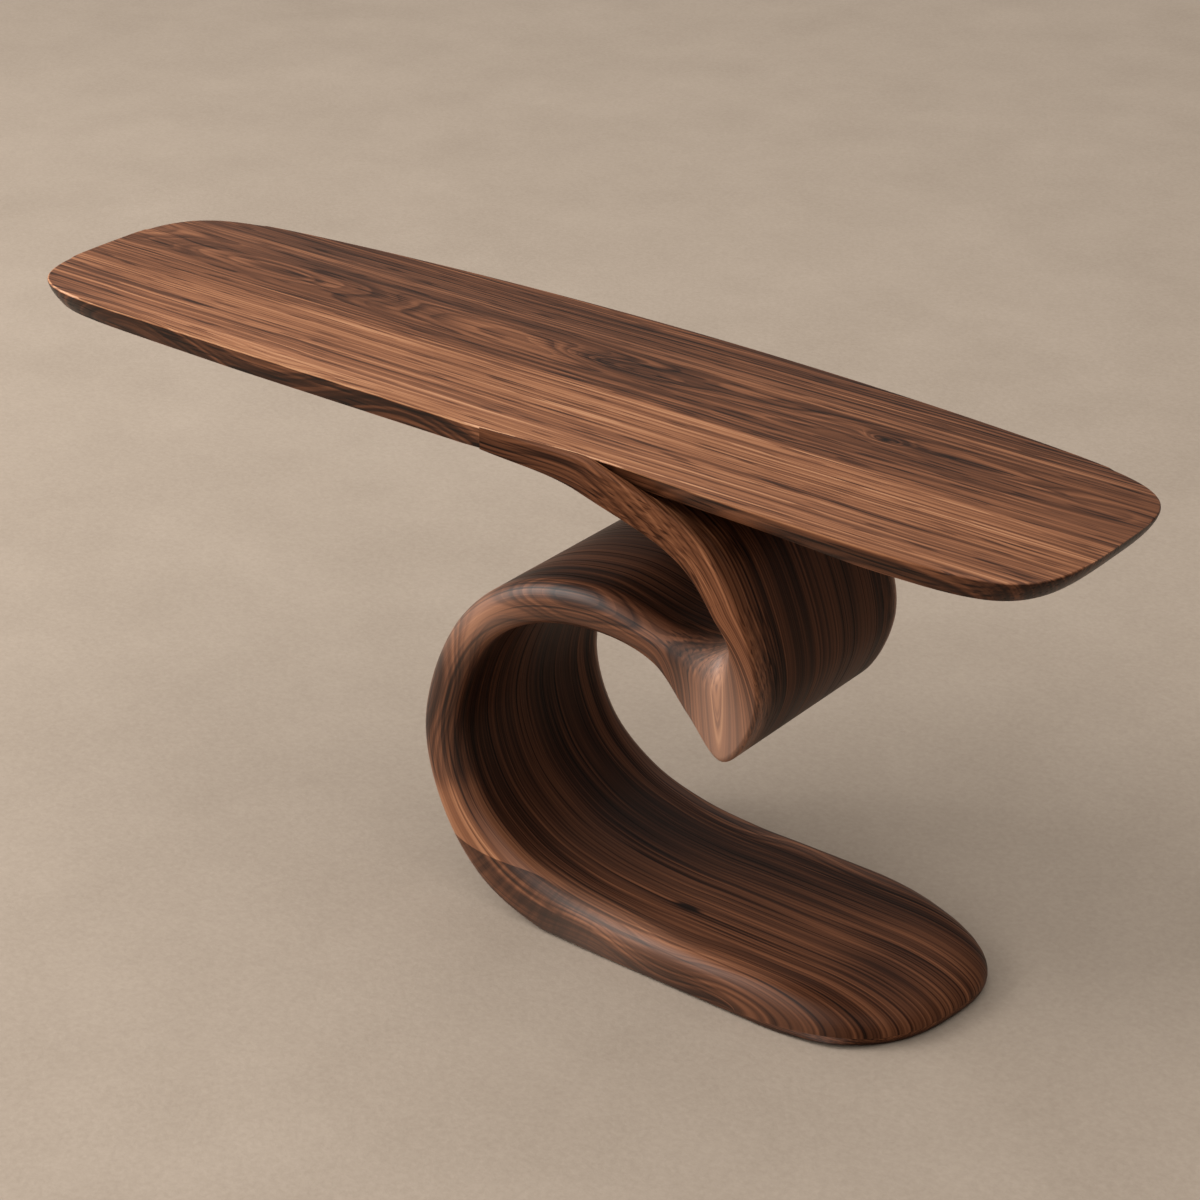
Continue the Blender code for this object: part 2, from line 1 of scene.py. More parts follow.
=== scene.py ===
"""Looks of a curved console table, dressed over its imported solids.

A walnut top of four boards is carried by one wide ribbon of walnut staves. The ribbon leaves the underside
of the top, folds under itself, arches back over a loop and rolls down into a long foot. Every visible board
and stave length is modelled again here with fine curves, and what lies inside or under the foot keeps its
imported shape. Lengths are in metres, X runs along the top, Y from front to back and Z up from the floor.
"""

import logging
import math
from collections.abc import Sequence
from dataclasses import dataclass, field
from enum import Enum
from typing import Any, TypeVar

import bmesh
import bpy
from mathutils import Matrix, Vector


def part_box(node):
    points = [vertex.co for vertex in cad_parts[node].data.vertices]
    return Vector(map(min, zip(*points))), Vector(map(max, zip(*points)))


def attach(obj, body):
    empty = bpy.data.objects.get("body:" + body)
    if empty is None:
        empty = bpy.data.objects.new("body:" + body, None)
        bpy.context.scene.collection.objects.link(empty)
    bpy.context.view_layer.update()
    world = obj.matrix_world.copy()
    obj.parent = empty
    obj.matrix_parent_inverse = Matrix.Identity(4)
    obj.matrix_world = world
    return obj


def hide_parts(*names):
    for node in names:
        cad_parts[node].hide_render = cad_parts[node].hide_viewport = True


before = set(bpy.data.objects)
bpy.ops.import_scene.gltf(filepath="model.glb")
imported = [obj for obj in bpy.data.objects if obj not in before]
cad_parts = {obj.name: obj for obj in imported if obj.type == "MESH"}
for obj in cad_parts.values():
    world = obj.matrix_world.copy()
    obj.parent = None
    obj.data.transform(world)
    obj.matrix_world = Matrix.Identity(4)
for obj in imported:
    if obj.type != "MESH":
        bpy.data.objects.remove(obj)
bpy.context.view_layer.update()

GRAIN = "grain"
# Middle of every noise, tone and relief.
MIDDLE = 0.5
LOG = logging.getLogger("console_table")

Amount = TypeVar("Amount", float, Vector)
Colour = tuple[float, float, float, float]
ScreenColour = tuple[int, int, int]
Cells = tuple[float, float, float]
Limits = tuple[float, float]
Point = tuple[Vector, Vector]
SunkPoint = tuple[Vector, float]
Ring = list[Point]
Rim = tuple[float, float]


def ramp(low: float, high: float, value: float) -> float:
    """Rise in a straight line from 0 at low to 1 at high."""
    return min(max((value - low) / (high - low), 0.0), 1.0)


def smooth_step(low: float, high: float, value: float) -> float:
    """Rise smoothly from 0 at low to 1 at high."""
    share = ramp(low, high, value)
    return share * share * (3.0 - 2.0 * share)


def blend(first: Amount, second: Amount, share: float) -> Amount:
    """Mix two numbers or two vectors."""
    return first + (second - first) * share


def even_shares(count: int) -> list[float]:
    """Divide a whole into even steps, from 0 to 1."""
    return [step / count for step in range(count + 1)]


def screen_colour(red: int, green: int, blue: int) -> Colour:
    """Turn a colour of the screen, from 0 to 255, into a linear one.

    Args:
        red: Red as shown on the screen.
        green: Green as shown on the screen.
        blue: Blue as shown on the screen.

    Returns:
        The linear colour with full opacity.
    """
    shown = [value / 255.0 for value in (red, green, blue)]
    linear = [value / 12.92 if value < 0.04045 else ((value + 0.055) / 1.055) ** 2.4 for value in shown]
    return (linear[0], linear[1], linear[2], 1.0)


class Slot(Enum):
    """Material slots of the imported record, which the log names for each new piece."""

    TOP = "walnut_top"
    DARK_STAVE = "walnut_stave_dark"
    LIGHT_STAVE = "walnut_stave_light"


class GrainSource(Enum):
    """Where a finish reads its place on the piece."""

    BOARD = "straight boards, from the object's own coordinates"
    STAVE = "bent staves, from the attribute along the ribbon"


class Layer(Enum):
    """Shift that tells one noise of a wood from the next."""

    SWIRL = 0.0
    CURL = 3.0
    BAND = 7.0
    STREAK = 11.0
    FIBRE = 13.0
    THREAD = 15.0
    PORE = 17.0
    BURR = 23.0


class Shade:
    """A value of a material, on which Python's operators add Math nodes."""

    def __init__(self, recipe: "Recipe", socket: bpy.types.NodeSocket) -> None:
        """Wrap a socket of a recipe."""
        self.recipe = recipe
        self.socket = socket

    def math(self, operation: str, *values: "Shade | float") -> "Shade":
        """Add a Math node on some values."""
        return self.recipe.node("ShaderNodeMath", {"operation": operation}, dict(enumerate(values)))

    def __add__(self, other: "Shade | float") -> "Shade":
        """Add."""
        return self.math("ADD", self, other)

    __radd__ = __add__

    def __sub__(self, other: "Shade | float") -> "Shade":
        """Take away."""
        return self.math("SUBTRACT", self, other)

    def __rsub__(self, other: "Shade | float") -> "Shade":
        """Be taken away."""
        return self.math("SUBTRACT", other, self)

    def __mul__(self, other: "Shade | float") -> "Shade":
        """Multiply."""
        return self.math("MULTIPLY", self, other)

    __rmul__ = __mul__

    def __truediv__(self, other: "Shade | float") -> "Shade":
        """Divide."""
        return self.math("DIVIDE", self, other)

    def __rtruediv__(self, other: "Shade | float") -> "Shade":
        """Be the divisor."""
        return self.math("DIVIDE", other, self)

    def root(self) -> "Shade":
        """Take the square root."""
        return self.math("SQRT", self)

    def fraction(self) -> "Shade":
        """Keep what follows the point."""
        return self.math("FRACT", self)

    def fading(self) -> "Shade":
        """Fall from 1 at zero towards 0, as a bell does with the square of the distance."""
        return self.math("EXPONENT", 0.0 - self)

    def step(self, low: float, high: float) -> "Shade":
        """Rise smoothly from 0 at low to 1 at high."""
        limits = {0: self, 1: low, 2: high}
        return self.recipe.node("ShaderNodeMapRange", {"interpolation_type": "SMOOTHSTEP"}, limits)


class Recipe:
    """A material in the making."""

    noise_skew: Cells = (1.0, 1.7, 2.3)
    noise_roughness: float = 0.55
    noise_spread: float = 3.0

    def __init__(self, name: str) -> None:
        """Start a material with its shader and nothing else.

        Args:
            name: Name of the material.
        """
        self.material = bpy.data.materials.new(name)
        self.material.use_nodes = True
        self.tree = self.material.node_tree
        self.shader = self.tree.nodes["Principled BSDF"]

    def node(
        self, kind: str, settings: dict[str, Any], sockets: dict[int | str, Any], output: int = 0
    ) -> Shade:
        """Add a node.

        Args:
            kind: Type of the node.
            settings: Its settings, and under "stops" the places and colours of a ramp.
            sockets: Values or links of its inputs, by number or name.
            output: Number of the output that is wanted.

        Returns:
            The output as a shade.
        """
        made = self.tree.nodes.new(kind)
        for key, value in settings.items():
            if key == "stops":
                while len(made.color_ramp.elements) < len(value):
                    made.color_ramp.elements.new(1.0)
                for stop, (place, colour) in zip(made.color_ramp.elements, value):
                    stop.position = place
                    stop.color = colour
            else:
                setattr(made, key, value)
        for key, value in sockets.items():
            if isinstance(value, Shade):
                self.tree.links.new(value.socket, made.inputs[key])
            else:
                made.inputs[key].default_value = value
        return Shade(self, made.outputs[output])

    def place(self, source: GrainSource) -> Shade:
        """Give the coordinates that a finish follows.

        Args:
            source: Where they are read.

        Returns:
            The coordinates.
        """
        if source is GrainSource.STAVE:
            return self.node("ShaderNodeAttribute", {"attribute_name": GRAIN}, {}, output=1)
        return self.node("ShaderNodeTexCoord", {}, {}, output=3)

    def parts(self, vector: Shade) -> tuple[Shade, Shade, Shade]:
        """Split a vector into its three numbers."""
        outputs = self.node("ShaderNodeSeparateXYZ", {}, {0: vector}).socket.node.outputs
        return Shade(self, outputs[0]), Shade(self, outputs[1]), Shade(self, outputs[2])

    def noise(self, where: Shade, stretch: Sequence[float], shift: float, detail: float = 2.0) -> Shade:
        """Add a noise that is stretched along the three ways.

        Args:
            where: Coordinates.
            stretch: Cells per metre along each of them.
            shift: A number that tells one noise from the next.
            detail: Octaves of finer noise.

        Returns:
            The noise, about 0 and mostly between -1 and 1.
        """
        offset = tuple(shift * share for share in self.noise_skew)
        moved = self.node(
            "ShaderNodeVectorMath", {"operation": "MULTIPLY_ADD"}, {0: where, 1: tuple(stretch), 2: offset}
        )
        sockets = {"Vector": moved, "Scale": 1.0, "Detail": detail, "Roughness": self.noise_roughness}
        noise = self.node("ShaderNodeTexNoise", {"noise_dimensions": "3D"}, sockets)
        return (noise - MIDDLE) * self.noise_spread

    def colours(self, value: Shade, stops: Sequence[tuple[float, ScreenColour]]) -> Shade:
        """Turn a value into a colour of a ramp."""
        linear = [(place, screen_colour(*shown)) for place, shown in stops]
        return self.node("ShaderNodeValToRGB", {"stops": linear}, {0: value})

    def mix(self, share: Shade, first: Shade | Colour, second: Shade | Colour) -> Shade:
        """Mix two colours."""
        return self.node("ShaderNodeMix", {"data_type": "RGBA"}, {0: share, 6: first, 7: second}, output=2)

    def finish(self, colour: Shade, roughness: Shade, height: Shade, bump: float) -> bpy.types.Material:
        """Link colour, roughness and relief to the shader.

        Args:
            colour: Base colour.
            roughness: Roughness.
            height: Relief, from about 0 to 1.
            bump: Height of the relief in metres.

        Returns:
            The finished material.
        """
        relief = self.node("ShaderNodeBump", {}, {"Strength": 1.0, "Distance": bump, "Height": height})
        for shade, socket in ((colour, "Base Color"), (roughness, "Roughness"), (relief, "Normal")):
            self.tree.links.new(shade.socket, self.shader.inputs[socket])
        return self.material

    def polish(self, weight: Shade, roughness: float) -> None:
        """Lay a thin coat of polish over the surface."""
        self.tree.links.new(weight.socket, self.shader.inputs["Coat Weight"])
        self.shader.inputs["Coat Roughness"].default_value = roughness


@dataclass(frozen=True)
class Patch:
    """An oval place in the wood: its middle, and how far it reaches."""

    along: float
    across: float
    length: float
    width: float

    def mask(self, along: Shade, across: Shade) -> Shade:
        """Give a soft mask of the place.

        Args:
            along: Coordinate along the grain.
            across: Coordinate across the grain.

        Returns:
            1 in the middle, falling to 0 outside.
        """
        far = (along - self.along) / self.length
        wide = (across - self.across) / self.width
        return (far * far + wide * wide).fading()


@dataclass(frozen=True)
class Swell(Patch):
    """A place where the growth rings swell, which shows as nested ovals."""

    rise: float


@dataclass(frozen=True)
class Spot(Patch):
    """A place that is darker, paler or greyer than the wood round it: the wood's own tone in some, painted
    shade and painted highlights in others.
    """

    lift: float
    pale_sheen: float = 0.0


@dataclass(frozen=True)
class BoardEdge:
    """The sides of the top, with painted shade under the arris and a painted highlight along the front
    arris.

    Each pair is two places between which the look changes. Those of the highlight's height count in arrises.
    """

    height: float
    arris: float
    shade: float = -0.37
    root_light: float = 0.24
    root_places: Limits = (-0.15, 0.03)
    right_light: float = 0.31
    right_places: Limits = (0.44, 0.62)
    light_end: Limits = (0.70, 0.84)
    glint: float = 0.48
    glint_low: Limits = (-1.0, -0.7)
    glint_high: Limits = (-0.12, 0.0)
    glint_front: Limits = (-0.18, -0.10)
    glint_loss: float = 0.62
    glint_loss_places: Limits = (0.15, 0.40)
    glint_end: Limits = (0.55, 0.80)

    def tone(self, along: Shade, across: Shade, depth: Shade) -> Shade:
        """Give what the edge adds to the tone of a board.

        Args:
            along: Coordinate along the board.
            across: Coordinate from front to back.
            depth: Height over the floor.

        Returns:
            The addition, negative where painted shade darkens the edge.
        """
        low = (depth - self.height) / self.arris
        # Painted shade on the sides, lessened where more light reaches them, at the root and at the right.
        root = along.step(*self.root_places) * self.root_light
        right = along.step(*self.right_places) * self.right_light
        light = 1.0 - (root + right) * (1.0 - along.step(*self.light_end))
        # Painted highlight: a thin pale line along the front arris, fading towards the right end.
        arris_glint = low.step(*self.glint_low) * (1.0 - low.step(*self.glint_high))
        arris_glint = arris_glint * (1.0 - across.step(*self.glint_front)) * (1.0 - along.step(*self.glint_end))
        arris_glint = arris_glint * (1.0 - along.step(*self.glint_loss_places) * self.glint_loss)
        return (1.0 - low.step(-1.0, 0.0)) * light * self.shade + arris_glint * self.glint


@dataclass(frozen=True)
class FreeSide:
    """The rounded free side of an outer stave, which is paler and polished."""

    place: float
    polish: float
    polish_start: float
    lift: float = 0.22
    polish_rise: float = 0.150
    polish_reach: float = 0.010
    polish_roughness: float = 0.47
    reach: float = 0.014
    fade: float = 0.030

    def mask(self, across: Shade, reach: float) -> Shade:
        """Give 1 within a reach of the side, fading to 0 further in."""
        inwards = math.copysign(1.0, -self.place)
        return 1.0 - ((across - self.place) * inwards).step(reach, reach + self.fade)

    def tone(self, across: Shade) -> Shade:
        """Give what the side adds to the tone of a stave."""
        return self.mask(across, self.reach) * self.lift

    def buff(self, recipe: Recipe, along: Shade, across: Shade) -> None:
        """Polish the side, from some way below the root on."""
        past = along.step(self.polish_start, self.polish_start + self.polish_rise)
        recipe.polish(self.mask(across, self.polish_reach) * past * self.polish, self.polish_roughness)


@dataclass(frozen=True)
class FloorShade:
    """Painted shade on the foot, close to the floor."""

    start: float
    rise: float = 0.100
    depths: Limits = (-0.050, -0.006)
    shade: float = -0.24

    def tone(self, along: Shade, depth: Shade) -> Shade:
        """Give what the painted shade near the floor adds to the tone of a stave."""
        low = along.step(self.start, self.start + self.rise) * (1.0 - depth.step(*self.depths))
        return low * self.shade


@dataclass(frozen=True)
class Scarf:
    """The slanted line at the heel: pale wood above it and dark curly wood below it."""

    start: float
    end: float
    base: float
    height: float
    fade_in: float
    fade_out: float
    curl_out: float
    lean: float = 0.8
    sharpness: float = 0.0008
    pale_lift: float = 0.17
    dark_lift: float = -0.16
    burr_lift: float = 0.13
    burr_cells: Cells = (120.0, 26.0, 26.0)

    def tone(self, recipe: Recipe, where: Shade, side: FreeSide, seed: float) -> Shade:
        """Give what the slanted line adds to the tone of a stave.

        Args:
            recipe: Material in the making.
            where: Coordinates along, across and through the wood.
            side: The free side that shows the line.
            seed: Number that tells one wood from the next.

        Returns:
            A positive tone above the line and a negative, curly one below it.
        """
        along, across, depth = recipe.parts(where)
        girth = depth - self.base + (across - side.place) * self.lean
        past = (girth - along.step(self.start, self.end) * self.height).step(-self.sharpness, self.sharpness)
        begun = along.step(self.fade_in, self.start)
        pale = past * begun * (1.0 - along.step(self.end, self.fade_out))
        dark = (1.0 - past) * begun * (1.0 - along.step(self.fade_out, self.curl_out))
        burr = recipe.noise(where, self.burr_cells, seed + Layer.BURR.value)
        lifted = pale * self.pale_lift + dark * (burr * self.burr_lift + self.dark_lift)
        return lifted * side.mask(across, side.reach)


@dataclass(frozen=True)
class Figure:
    """What all the walnut shares: cells per metre, and what a layer adds to tone, roughness and relief."""

    spacing: float = 0.0052
    late_end: float = 0.88
    late_roughness: float = 0.05
    late_relief: float = 0.15
    swirl_cells: Cells = (1.7, 8.0, 8.0)
    curl_cells: Cells = (9.0, 34.0, 34.0)
    curl_share: float = 0.14
    band_cells: Cells = (0.7, 15.0, 1.0)
    band_tone: float = 0.13
    streak_cells: Cells = (0.9, 62.0, 1.0)
    thread_cells: Cells = (1.6, 220.0, 1.0)
    fibre_cells: Cells = (3.0, 260.0, 260.0)
    fibre_tone: float = 0.15
    fibre_roughness: float = 0.04
    fibre_relief: float = 0.25
    pore_cells: float = 270.0
    pore_limits: Limits = (0.34, 0.70)
    pore_tone: float = 0.20
    pore_roughness: float = 0.12
    pore_relief: float = 0.5
    relief: float = 0.00018
    # Pale greyish pink that spots mix in as painted sheen.
    sheen_colour: ScreenColour = (204, 174, 158)
    stops: tuple[tuple[float, ScreenColour], ...] = (
        (0.00, (26, 13, 7)),
        (0.20, (56, 31, 19)),
        (0.40, (97, 59, 39)),
        (0.56, (134, 86, 59)),
        (0.74, (170, 116, 82)),
        (1.00, (212, 160, 122)),
    )


@dataclass(frozen=True)
class Walnut:
    """Oiled walnut: bands and lines along the growth rings, fibres and pores."""

    name: str
    source: GrainSource
    seed: float
    pith: tuple[float, float]
    lift: float = 0.0
    swirl: float = 0.006
    lines: float = 0.14
    streaks: float = 0.16
    threads: float = 0.28
    pores: float = 14.0
    slope: float = 0.0
    roughness: float = 0.34
    gloss: float = 0.20
    edge: BoardEdge | None = None
    side: FreeSide | None = None
    floor: FloorShade | None = None
    scarf: Scarf | None = None
    swells: tuple[Swell, ...] = ()
    spots: tuple[Spot, ...] = ()
    figure: Figure = Figure()

    @property
    def surface(self) -> float:
        """Height from which the depth of the pith is counted."""
        return self.edge.height if self.edge else 0.0

    def noise(self, where: Shade, cells: Cells, layer: Layer, detail: float = 2.0) -> Shade:
        """Add one noise of this wood."""
        return where.recipe.noise(where, cells, self.seed + layer.value, detail)

    def radius(self, recipe: Recipe, where: Shade) -> Shade:
        """Measure how far a place lies from the pith.

        Args:
            recipe: Material in the making.
            where: Coordinates along, across and through the wood.

        Returns:
            The distance, with the waves and swellings of the growth rings.
        """
        along, across, depth = recipe.parts(where)
        wander = self.noise(where, self.figure.swirl_cells, Layer.SWIRL)
        curl = self.noise(where, self.figure.curl_cells, Layer.CURL, detail=1.0)
        aside = across - self.pith[0]
        below = depth - (self.surface + self.pith[1])
        radius = (aside * aside + below * below).root()
        radius = radius + wander * self.swirl + curl * (self.figure.curl_share * self.swirl)
        for swell in self.swells:
            radius = radius + swell.mask(along, across) * swell.rise
        return radius

    def setting(self, recipe: Recipe, where: Shade) -> Shade:
        """Give what the piece's setting adds to the tone, painted shade and highlights among it, and polish
        a free side.

        Args:
            recipe: Material in the making.
            where: Coordinates along, across and through the wood.

        Returns:
            The addition.
        """
        along, across, depth = recipe.parts(where)
        added = across * self.slope
        if self.edge:
            added = added + self.edge.tone(along, across, depth)
        if self.side:
            added = added + self.side.tone(across)
            self.side.buff(recipe, along, across)
        if self.side and self.scarf:
            added = added + self.scarf.tone(recipe, where, self.side, self.seed)
        if self.floor:
            added = added + self.floor.tone(along, depth)
        return added

    def material(self) -> bpy.types.Material:
        """Make the material.

        Returns:
            The finished material.
        """
        recipe = Recipe(self.name)
        figure = self.figure
        where = recipe.place(self.source)
        along, across, _ = recipe.parts(where)
        radius = self.radius(recipe, where)
        layers = recipe.node("ShaderNodeCombineXYZ", {}, {0: along, 1: radius})
        ring = (radius / figure.spacing).fraction()
        late = ring * ring * ring * (1.0 - ring.step(figure.late_end, 1.0))
        band = self.noise(layers, figure.band_cells, Layer.BAND)
        streak = self.noise(layers, figure.streak_cells, Layer.STREAK, detail=3.0)
        thread = self.noise(layers, figure.thread_cells, Layer.THREAD, detail=1.0)
        fibre = self.noise(where, figure.fibre_cells, Layer.FIBRE, detail=1.0)
        pore_cells = (self.pores, figure.pore_cells, figure.pore_cells)
        pore = self.noise(where, pore_cells, Layer.PORE, detail=0.0).step(*figure.pore_limits)
        tone = MIDDLE + self.lift + band * figure.band_tone + streak * self.streaks + thread * self.threads
        tone = tone + fibre * figure.fibre_tone - late * self.lines - pore * figure.pore_tone
        tone = tone + self.setting(recipe, where)
        pale_sheen: Shade | float = 0.0
        for spot in self.spots:
            mask = spot.mask(along, across)
            tone = tone + mask * spot.lift
            if spot.pale_sheen:
                pale_sheen = mask * spot.pale_sheen + pale_sheen
        colour = recipe.colours(tone, figure.stops)
        # Paler wood and painted sheen: the pale colour is mixed in where spots ask for it.
        if isinstance(pale_sheen, Shade):
            colour = recipe.mix(pale_sheen, colour, screen_colour(*figure.sheen_colour))
        roughness = self.roughness + fibre * figure.fibre_roughness + pore * figure.pore_roughness
        roughness = roughness + late * figure.late_roughness
        height = MIDDLE + fibre * figure.fibre_relief - pore * figure.pore_relief - late * figure.late_relief
        recipe.shader.inputs["Specular IOR Level"].default_value = self.gloss
        return recipe.finish(colour, roughness, height, figure.relief)


# The front board and the first stave share one log, so that its figure runs on between them.
FRONT_SEED = 1.3
FRONT_PITH = (-0.020, 0.100)


@dataclass(frozen=True)
class Mottle:
    """One noise of a plain finish, and what it adds to tone, roughness and relief."""

    cells: Cells
    shift: float
    tone: float
    roughness: float = 0.0
    relief: float = 0.0
    detail: float = 2.0
    limits: Limits | None = None


@dataclass(frozen=True)
class PlainFinish:
    """A finish between two colours, with fine mottling."""

    name: str
    dark: ScreenColour
    pale: ScreenColour
    roughness: float
    bump: float
    mottles: tuple[Mottle, ...]
    metallic: float = 0.0

    def material(self) -> bpy.types.Material:
        """Make the material.

        Returns:
            The finished material.
        """
        recipe = Recipe(self.name)
        where = recipe.place(GrainSource.BOARD)
        tone, roughness, height = MIDDLE, self.roughness, MIDDLE
        for mottle in self.mottles:
            noise = recipe.noise(where, mottle.cells, mottle.shift, mottle.detail)
            if mottle.limits:
                noise = noise.step(*mottle.limits)
            tone = noise * mottle.tone + tone
            roughness = noise * mottle.roughness + roughness
            height = noise * mottle.relief + height
        recipe.shader.inputs["Metallic"].default_value = self.metallic
        colour = recipe.colours(tone, ((0.0, self.dark), (1.0, self.pale)))
        return recipe.finish(colour, roughness, height, self.bump)


# Dowels and splines: pale beech with short dark flecks.
BEECH = PlainFinish(
    "pale_beech", dark=(168, 124, 84), pale=(222, 186, 142), roughness=0.6, bump=0.0001,
    mottles=(
        Mottle((40.0, 12.0, 300.0), shift=2.0, tone=0.35, roughness=0.06, relief=0.4),
        Mottle((400.0, 60.0, 700.0), shift=5.0, tone=-0.4, relief=-0.3, detail=0.0, limits=(0.45, 0.7)),
    ),
)
# Ballast plate and its screws: ground steel with fine scratches along the plate.
STEEL = PlainFinish(
    "ground_steel", dark=(150, 150, 152), pale=(196, 196, 198), roughness=0.34, bump=0.00004, metallic=1.0,
    mottles=(
        Mottle((14.0, 1500.0, 1500.0), shift=4.0, tone=0.25, roughness=0.06, relief=0.5),
        Mottle((18.0, 18.0, 18.0), shift=9.0, tone=0.2, roughness=0.05),
    ),
)
# Glides: brown felt, matted from short fibres.
FELT = PlainFinish(
    "matted_felt", dark=(44, 34, 29), pale=(92, 74, 63), roughness=0.93, bump=0.0006,
    mottles=(
        Mottle((700.0, 700.0, 700.0), shift=3.0, tone=0.3, roughness=0.03, relief=0.4, detail=4.0),
        Mottle((240.0, 1900.0, 1900.0), shift=6.0, tone=0.2, relief=0.2),
    ),
)
# Floor: warm grey plaster, very slightly clouded.
PLASTER = PlainFinish(
    "warm_plaster", dark=(157, 142, 127), pale=(187, 172, 157), roughness=0.86, bump=0.0008,
    mottles=(
        Mottle((4.5, 4.5, 4.5), shift=1.0, tone=0.20, roughness=0.03, relief=0.1, detail=6.0),
        Mottle((130.0, 130.0, 130.0), shift=8.0, tone=0.20, relief=0.2),
    ),
)


class Sweep:
    """A closed shape drawn out, ring by ring, from one face."""

    merge_distance: float = 0.000001

    def __init__(self, first: Ring) -> None:
        """Start from a disc whose rim takes the first ring's points.

        Args:
            first: The first ring.
        """
        self.shape = bmesh.new()
        self.turn = self.shape.verts.layers.int.new("turn")
        self.grain = self.shape.verts.layers.float_vector.new(GRAIN)
        made = bmesh.ops.create_circle(self.shape, cap_ends=True, radius=1.0, segments=len(first))
        for number, vert in enumerate(made["verts"]):
            vert[self.turn] = number
        self.rim = made["verts"]
        self.start = self.shape.faces[:][0]
        self.end = self.start
        self.settle(first)

    def settle(self, ring: Ring) -> None:
        """Move the newest rim to a ring's points."""
        for vert in self.rim:
            vert.co, vert[self.grain] = ring[vert[self.turn]]

    def draw(self, ring: Ring) -> None:
        """Draw the end face out to the next ring.

        Args:
            ring: The next ring, with as many points as the first one.
        """
        past = self.end
        made = bmesh.ops.extrude_face_region(self.shape, geom=[past])["geom"]
        self.rim = [item for item in made if isinstance(item, bmesh.types.BMVert)]
        self.end = next(item for item in made if isinstance(item, bmesh.types.BMFace))
        if past is not self.start:
            bmesh.ops.delete(self.shape, geom=[past], context="FACES_ONLY")
        self.settle(ring)

    def close(self) -> None:
        """Drop the end face and merge the two sides that meet there."""
        bmesh.ops.delete(self.shape, geom=[self.end], context="FACES_ONLY")
        bmesh.ops.remove_doubles(self.shape, verts=self.rim, dist=self.merge_distance)


def add_piece(
    node: str, shape: bmesh.types.BMesh, material: bpy.types.Material, slot: Slot, sharp: float
) -> bpy.types.Object:
    """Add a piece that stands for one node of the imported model.

    Args:
        node: Name of the node.
        shape: Closed mesh, which is freed.
        material: Finish of the piece.
        slot: Material slot of the record.
        sharp: Angle in degrees from which an edge is shown sharp.

    Returns:
        The new object.
    """
    mesh = bpy.data.meshes.new("wood_" + node)
    bmesh.ops.recalc_face_normals(shape, faces=shape.faces)
    shape.to_mesh(mesh)
    shape.free()
    mesh.shade_smooth()
    mesh.set_sharp_from_angle(angle=math.radians(sharp))
    mesh.materials.append(material)
    piece = bpy.data.objects.new("wood_" + node, mesh)
    bpy.context.scene.collection.objects.link(piece)
    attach(piece, "root")
    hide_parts(node)
    LOG.info("%s: %d faces, %s", piece.name, len(mesh.polygons), slot.value)
    return piece


